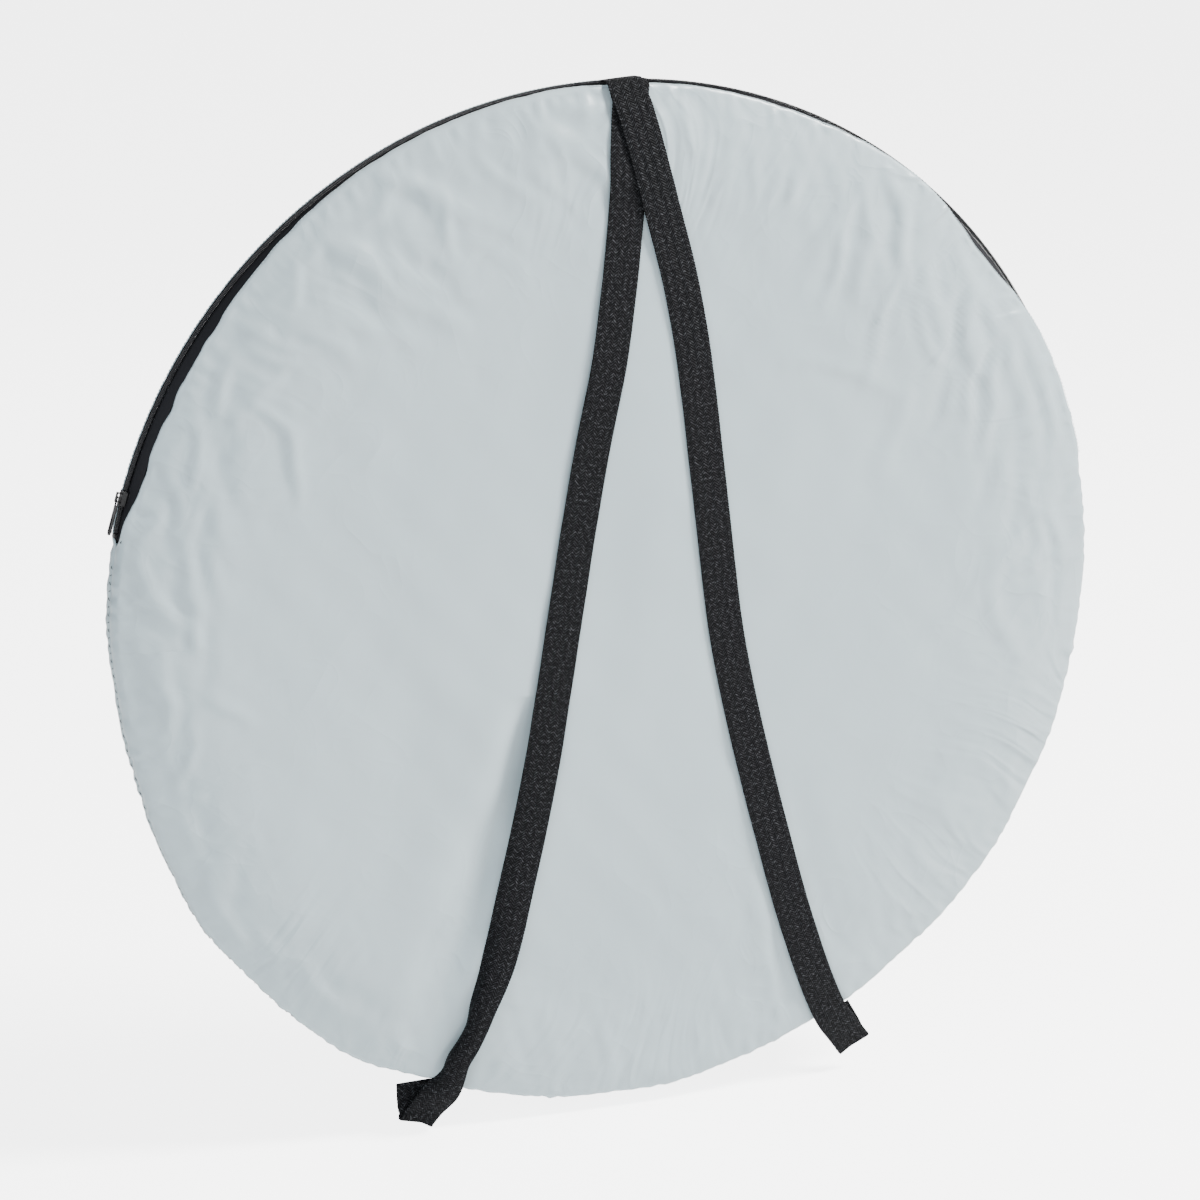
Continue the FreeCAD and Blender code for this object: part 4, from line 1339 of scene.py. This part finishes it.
@cache
def gather_group() -> Tree:
    """Fine tucks drawn in from the rim: noise stretched along lines that lean away from the radius.

    The place across the tucks is the angle round the disc plus a lean with the radius; the place along
    them is the radius, much slower. They fade out towards the middle, and come and go in patches.
    """
    group = new_group("gathers", {"Vector": ("NodeSocketVector", 0.0)}, {"Height": "NodeSocketFloat"})
    vector = group.nodes["in"].outputs["Vector"]
    split = add_node(group, "SeparateXYZ", {0: vector})
    x, z = split.outputs[0], math_node(group, "ADD", split.outputs[1], MIDDLE_DROP)
    squares = [math_node(group, "MULTIPLY", place, place) for place in (x, z)]
    radius = math_node(group, "POWER", math_node(group, "ADD", *squares), 0.5)
    angle = math_node(group, "ARCTAN2", z, x)
    slow = noise_node(group, vector, 5.0, 1.0)
    lean = math_node(group, "MULTIPLY", radius, math_node(group, "SUBTRACT", slow, 0.2))
    turned = math_node(group, "MULTIPLY", angle, 19.0)
    around = math_node(group, "ADD", turned, math_node(group, "MULTIPLY", lean, 30.0))
    along = math_node(group, "MULTIPLY", radius, 13.0)
    place = add_node(group, "CombineXYZ", {0: around, 1: along}).outputs[0]
    ridge = math_node(group, "POWER", noise_node(group, place, 1.0, 1.0, distortion=0.5), 1.6)
    near = ramp_node(group, radius, (0.27, 0.41), (0.0, 1.0), smooth=True)
    patch = noise_node(group, vector, 4.2, 0.0)
    mask = math_node(group, "MULTIPLY", math_node(group, "POWER", patch, 2.5), near)
    put_out(group, "Height", math_node(group, "MULTIPLY", ridge, mask))
    return group


@cache
def mottle_group() -> Tree:
    """Slow and fine variation: two sizes of noise."""
    outputs = {"Broad": "NodeSocketFloat", "Fine": "NodeSocketFloat"}
    group = new_group("mottle", {"Vector": ("NodeSocketVector", 0.0)}, outputs)
    vector = group.nodes["in"].outputs["Vector"]
    for word, scale, detail in (("Broad", 3.5, 2.0), ("Fine", 900.0, 3.0)):
        put_out(group, word, noise_node(group, vector, scale, detail))
    return group


class Coordinates(Enum):
    """Where a finish reads its pattern."""

    OBJECT = "Object"
    UV = "UV"


@dataclass(frozen=True)
class Finish:
    """A cloth, plastic or metal finish.

    Colours are linear. weave is the thread pitch, or 0 for none; bump and crumple are the heights of the
    fine and the coarse relief. All three are in metres.
    """

    slot: str
    dark: tuple[float, float, float]
    light: tuple[float, float, float]
    roughness: float
    weave: float = 0.0
    bump: float = 0.0
    metallic: float = 0.0
    sheen: float = 0.0
    coat: float = 0.0
    coordinates: Coordinates = Coordinates.OBJECT
    specular: float = 0.5
    crumple: float = 0.0

    def material(self) -> bpy.types.Material:
        """The finish's material, made once."""
        name = f"{self.slot}_finish"
        made = bpy.data.materials.get(name)
        if made:
            return made
        made = bpy.data.materials.new(name)
        made.use_nodes = True
        tree = made.node_tree
        shader = tree.nodes["Principled BSDF"]
        shader.inputs["Metallic"].default_value = self.metallic
        shader.inputs["Sheen Weight"].default_value = self.sheen
        shader.inputs["Coat Weight"].default_value = self.coat
        shader.inputs["Specular IOR Level"].default_value = self.specular
        where = tree.nodes.new("ShaderNodeTexCoord").outputs[self.coordinates.value]
        flat = self.plane(tree, where)
        mottle = group_node(tree, mottle_group(), where)
        share = self.share(tree, mottle, flat)
        mix = tree.nodes.new("ShaderNodeMix")
        mix.data_type = "RGBA"
        for socket, value in ((0, share), (6, (*self.dark, 1)), (7, (*self.light, 1))):
            feed(tree, mix.inputs[socket], value)
        tree.links.new(mix.outputs[2], shader.inputs["Base Color"])
        self.surface(tree, shader, mottle, flat)
        return made

    def plane(self, tree: Tree, where: Socket) -> Socket:
        """Coordinates whose first two axes lie in the cloth: the object's X and Z, or the UV map's own."""
        if self.coordinates is Coordinates.UV:
            return where
        x, y, z = add_node(tree, "SeparateXYZ", {0: where}).outputs
        return add_node(tree, "CombineXYZ", {0: x, 1: z, 2: y}).outputs[0]

    def share(self, tree: Tree, mottle: bpy.types.Node, flat: Socket) -> Socket:
        """The light colour's share, from the slow mottle."""
        return math_node(tree, "MULTIPLY_ADD", mottle.outputs["Broad"], 0.75, 0.12)

    def relief(self, tree: Tree, height: Socket, strength: float, distance: float) -> bpy.types.Node:
        """A Bump node over a height."""
        return add_node(tree, "Bump", {"Strength": strength, "Distance": distance, "Height": height})

    def surface(self, tree: Tree, shader: bpy.types.Node, mottle: bpy.types.Node, flat: Socket) -> None:
        """Roughness from the fine mottle, and the relief of the weave over that of the fine creases."""
        fine = mottle.outputs["Fine"]
        rough = math_node(tree, "MULTIPLY_ADD", fine, 0.16, self.roughness - 0.08)
        tree.links.new(rough, shader.inputs["Roughness"])
        height = fine
        if self.weave:
            weave = group_node(tree, weave_group(), flat)
            weave.inputs["Pitch"].default_value = self.weave
            height = math_node(tree, "ADD", weave.outputs["Height"], math_node(tree, "MULTIPLY", fine, 0.6))
        bump = self.relief(tree, height, 0.6, self.bump)
        tree.links.new(bump.outputs[0], shader.inputs["Normal"])
        if self.crumple:
            made = (crumple_group(), gather_group())
            creases, tucks = (group_node(tree, group, flat).outputs["Height"] for group in made)
            folds = math_node(tree, "MULTIPLY_ADD", tucks, 5.0, creases)
            soft = self.relief(tree, folds, 1.0, self.crumple)
            tree.links.new(soft.outputs[0], bump.inputs["Normal"])


class WebbingFinish(Finish):
    """Herringbone webbing: slanted ribs that change heading across the strap, with pale flecks and a painted
    highlight on the rib crests.
    """

    def share(self, tree: Tree, mottle: bpy.types.Node, flat: Socket) -> Socket:
        """Black yarn with pale flecks on the crests of some ribs, and every rib crest painted lighter as a
        painted highlight.
        """
        ribs = self.ribs(tree, flat)
        # pale flecks in sparse noise patches, only on the rib crests
        fleck_patches = math_node(tree, "POWER", noise_node(tree, flat, 380.0, 1.0), 5.0)
        fleck = math_node(tree, "MULTIPLY", ribs, math_node(tree, "MULTIPLY", fleck_patches, 6.0))
        # painted highlight: the rib crests are painted lighter, where light would catch them
        painted_rib_highlight = math_node(tree, "MULTIPLY", math_node(tree, "POWER", ribs, 4.0), 0.06)
        return math_node(tree, "MULTIPLY_ADD", fleck, 0.9, painted_rib_highlight)

    def ribs(self, tree: Tree, flat: Socket) -> Socket:
        """Height of the slanted ribs, 0 to 1: a sine of the run plus a zigzag of the place across."""
        rib, half_zigzag, past_zero = 2.4 * MM, 3.6 * MM, 0.1
        split = add_node(tree, "SeparateXYZ", {0: flat})
        zigzag = math_node(tree, "PINGPONG", math_node(tree, "ADD", split.outputs[0], past_zero), half_zigzag)
        slant = math_node(tree, "ADD", split.outputs[1], zigzag)
        wave = math_node(tree, "SINE", math_node(tree, "MULTIPLY", slant, TAU / rib))
        return math_node(tree, "MULTIPLY_ADD", wave, 0.5, 0.5)

    def surface(self, tree: Tree, shader: bpy.types.Node, mottle: bpy.types.Node, flat: Socket) -> None:
        """Rib relief and a rough, fibrous surface."""
        shader.inputs["Roughness"].default_value = self.roughness
        fibres = math_node(tree, "MULTIPLY", mottle.outputs["Fine"], 0.5)
        bump = self.relief(tree, math_node(tree, "ADD", self.ribs(tree, flat), fibres), 0.9, self.bump)
        tree.links.new(bump.outputs[0], shader.inputs["Normal"])


PANEL_CLOTH = Finish(
    "panel_cloth", (0.42, 0.52, 0.56), (0.49, 0.585, 0.615), 0.31,
    weave=0.0007, bump=0.00003, crumple=0.0022,
)
PALE_THREAD = Finish("pale_thread", (0.5, 0.57, 0.58), (0.62, 0.69, 0.7), 0.6, bump=0.00002)
DARK_THREAD = Finish("dark_thread", (0.012, 0.012, 0.014), (0.03, 0.03, 0.034), 0.6, bump=0.00002)
ZIP_TAPE = Finish(
    "zip_tape", (0.01, 0.01, 0.012), (0.028, 0.028, 0.032), 0.7,
    weave=0.0009, bump=0.00008, coordinates=Coordinates.UV, specular=0.15,
)
ZIP_TEETH = Finish(
    "zip_coil", (0.012, 0.012, 0.014), (0.03, 0.03, 0.034), 0.3,
    bump=0.00001, specular=0.5,
)
ZIP_METAL = Finish(
    "zip_metal", (0.008, 0.008, 0.009), (0.02, 0.02, 0.021), 0.34,
    bump=0.00002, specular=0.4,
)
WEBBING = WebbingFinish(
    "webbing", (0.0018, 0.002, 0.0026), (0.062, 0.064, 0.07), 0.7,
    bump=0.0005, coordinates=Coordinates.UV, specular=0.1,
)
HOOP_ROD = Finish("hoop_rod", (0.03, 0.03, 0.032), (0.06, 0.06, 0.065), 0.35, bump=0.00002, coat=0.2)
STEEL = Finish("ferrule_steel", (0.45, 0.45, 0.46), (0.62, 0.62, 0.63), 0.3, bump=0.00001, metallic=1.0)
PEG_STEEL = Finish("peg_steel", (0.5, 0.5, 0.51), (0.66, 0.66, 0.67), 0.28, bump=0.00001, metallic=1.0)
SLEEVE_CLOTH = Finish(
    "sleeve_cloth", (0.03, 0.033, 0.036), (0.06, 0.065, 0.07), 0.6,
    weave=0.0007, bump=0.00005, coordinates=Coordinates.UV,
)
ELASTIC = Finish(
    "elastic", (0.014, 0.014, 0.015), (0.04, 0.04, 0.042), 0.7,
    weave=0.0012, bump=0.0001, coordinates=Coordinates.UV,
)
CANOPY_CLOTH = Finish(
    "canopy_cloth", (0.48, 0.56, 0.57), (0.58, 0.65, 0.66), 0.5,
    weave=0.0007, bump=0.00003, sheen=0.1,
)
MESH_CLOTH = Finish(
    "mesh_cloth", (0.05, 0.055, 0.06), (0.12, 0.13, 0.14), 0.8,
    weave=0.0016, bump=0.00015,
)
GROUNDSHEET_CLOTH = Finish(
    "groundsheet_cloth", (0.16, 0.18, 0.2), (0.25, 0.27, 0.29), 0.45,
    weave=0.0018, bump=0.00009,
)
POUCH_CLOTH = Finish(
    "pouch_cloth", (0.34, 0.39, 0.4), (0.44, 0.49, 0.5), 0.5,
    weave=0.0007, bump=0.00003,
)


def dress_cad_nodes() -> None:
    """Give the CAD parts that stay visible their finishes."""
    kept = {
        "zip_slider_body": ZIP_METAL,
        "zip_pull": ZIP_METAL,
        "zip_end_stops": ZIP_METAL,
        "hoop_a": HOOP_ROD,
        "hoop_b": HOOP_ROD,
        "hoop_a_ferrule": STEEL,
        "hoop_b_ferrule": STEEL,
        "ground_pegs": PEG_STEEL,
    }
    for node, finish in kept.items():
        piece = frame["nodes"][node]
        piece.data.materials.clear()
        piece.data.materials.append(finish.material())


# ------------------------------------------------------------------ studio


@dataclass
class Studio:
    """Pale floor, soft lights and the camera."""

    centre: Vector
    floor_z: float

    def build(self) -> None:
        """Set up the whole studio."""
        self.floor()
        self.lights()
        self.camera()

    def floor(self) -> None:
        """A wide pale floor that runs out of view on every side, finer near the bag.

        It glows to the camera alone, so that it looks white without lighting the bag from below.
        """
        reach = 40.0
        side = np.array([-reach, -6.0, -2.0, 2.0, 6.0, reach])
        y, x = np.meshgrid(side, side, indexing="ij")
        points = np.stack([x, y, np.full_like(x, self.floor_z)], -1)
        floor = make_object("studio_floor", points.reshape(-1, 3), grid_faces(len(side), len(side)))
        paper = bpy.data.materials.new("studio_paper")
        paper.use_nodes = True
        shader = paper.node_tree.nodes["Principled BSDF"]
        shader.inputs["Base Color"].default_value = (0.9, 0.9, 0.9, 1)
        shader.inputs["Roughness"].default_value = 0.8
        shader.inputs["Emission Color"].default_value = (1.0, 1.0, 1.0, 1)
        seen = paper.node_tree.nodes.new("ShaderNodeLightPath").outputs["Is Camera Ray"]
        glow = math_node(paper.node_tree, "MULTIPLY_ADD", seen, 4.0, 0.35)
        paper.node_tree.links.new(glow, shader.inputs["Emission Strength"])
        floor.data.materials.append(paper)

    def area_light(self, name: str, place: Row, size: float, power: float, tint: Row) -> None:
        """A square soft light aimed at the disc's centre."""
        lamp = bpy.data.lights.new(name, "AREA")
        lamp.size, lamp.energy, lamp.color = size, power, tint
        holder = bpy.data.objects.new(name, lamp)
        holder.location = self.centre + Vector(place)
        holder.rotation_euler = (self.centre - holder.location).to_track_quat("-Z", "Y").to_euler()
        bpy.context.scene.collection.objects.link(holder)

    def lights(self) -> None:
        """A high key from the right, a broad fill from the left and an even pale surround."""
        self.area_light("key", (2.3, -1.2, 2.6), 0.9, 340, (1.0, 0.98, 0.955))
        self.area_light("fill", (-2.6, -2.6, 1.2), 2.2, 62, (0.84, 0.93, 1.0))
        self.area_light("back", (0.4, 2.6, 1.8), 2.0, 30, (1.0, 1.0, 1.0))
        world = bpy.data.worlds.new("surround")
        world.use_nodes = True
        tree = world.node_tree
        tree.nodes["Background"].inputs["Color"].default_value = (0.93, 0.96, 1.0, 1)
        seen = tree.nodes.new("ShaderNodeLightPath").outputs["Is Camera Ray"]
        strength = math_node(tree, "MULTIPLY_ADD", seen, 5.0, 0.3)
        tree.links.new(strength, tree.nodes["Background"].inputs["Strength"])
        bpy.context.scene.world = world

    def camera(self) -> None:
        """Look from the left and above, from 3.6 m, framing 0.97 m at the disc."""
        azimuth, elevation, distance, framed = math.radians(-21), math.radians(15), 3.612, 0.9655
        level = math.cos(elevation)
        back = Vector((math.sin(azimuth) * level, -math.cos(azimuth) * level, math.sin(elevation)))
        lens = bpy.data.cameras.new("camera")
        lens.sensor_width = 36.0
        lens.lens = 36.0 * distance / framed
        camera = bpy.data.objects.new("camera", lens)
        turn = (-back).to_track_quat("-Z", "Y")
        aside = turn @ Vector((-10.3 * MM, 0, 0))
        camera.location = self.centre + back * distance + aside
        camera.rotation_euler = turn.to_euler()
        bpy.context.scene.collection.objects.link(camera)
        bpy.context.scene.camera = camera


# ------------------------------------------------------------------ assembly


def main() -> None:
    """Build every piece in order and report it."""
    logging.basicConfig(level=logging.INFO, format="%(message)s")
    disc = Disc.from_frame()
    fold_joint = next(joint for joint in frame["joints"] if joint["name"] == "back_flap_fold")
    fold_z = fold_joint["pos_m"][2]
    bag = CarryBag(disc)
    bag.build(fold_z)
    Zip(disc).build(fold_z)
    for word, route, crown, loop, tuck in (
        ("left", LEFT_ROUTE, LEFT_CROWN, LEFT_LOOP, LEFT_TUCK),
        ("right", RIGHT_ROUTE, RIGHT_CROWN, RIGHT_LOOP, ()),
    ):
        Strap(f"{word}_strap_webbing", f"shoulder_strap_{word}", bag.front, route, crown, loop, tuck).build()
    PackedTent(disc, bag.front).build()
    dress_cad_nodes()
    Studio(Vector((0, 0, disc.centre_z)), CAD_LOW.z - 2 * MM).build()


if __name__ == "__main__":
    main()
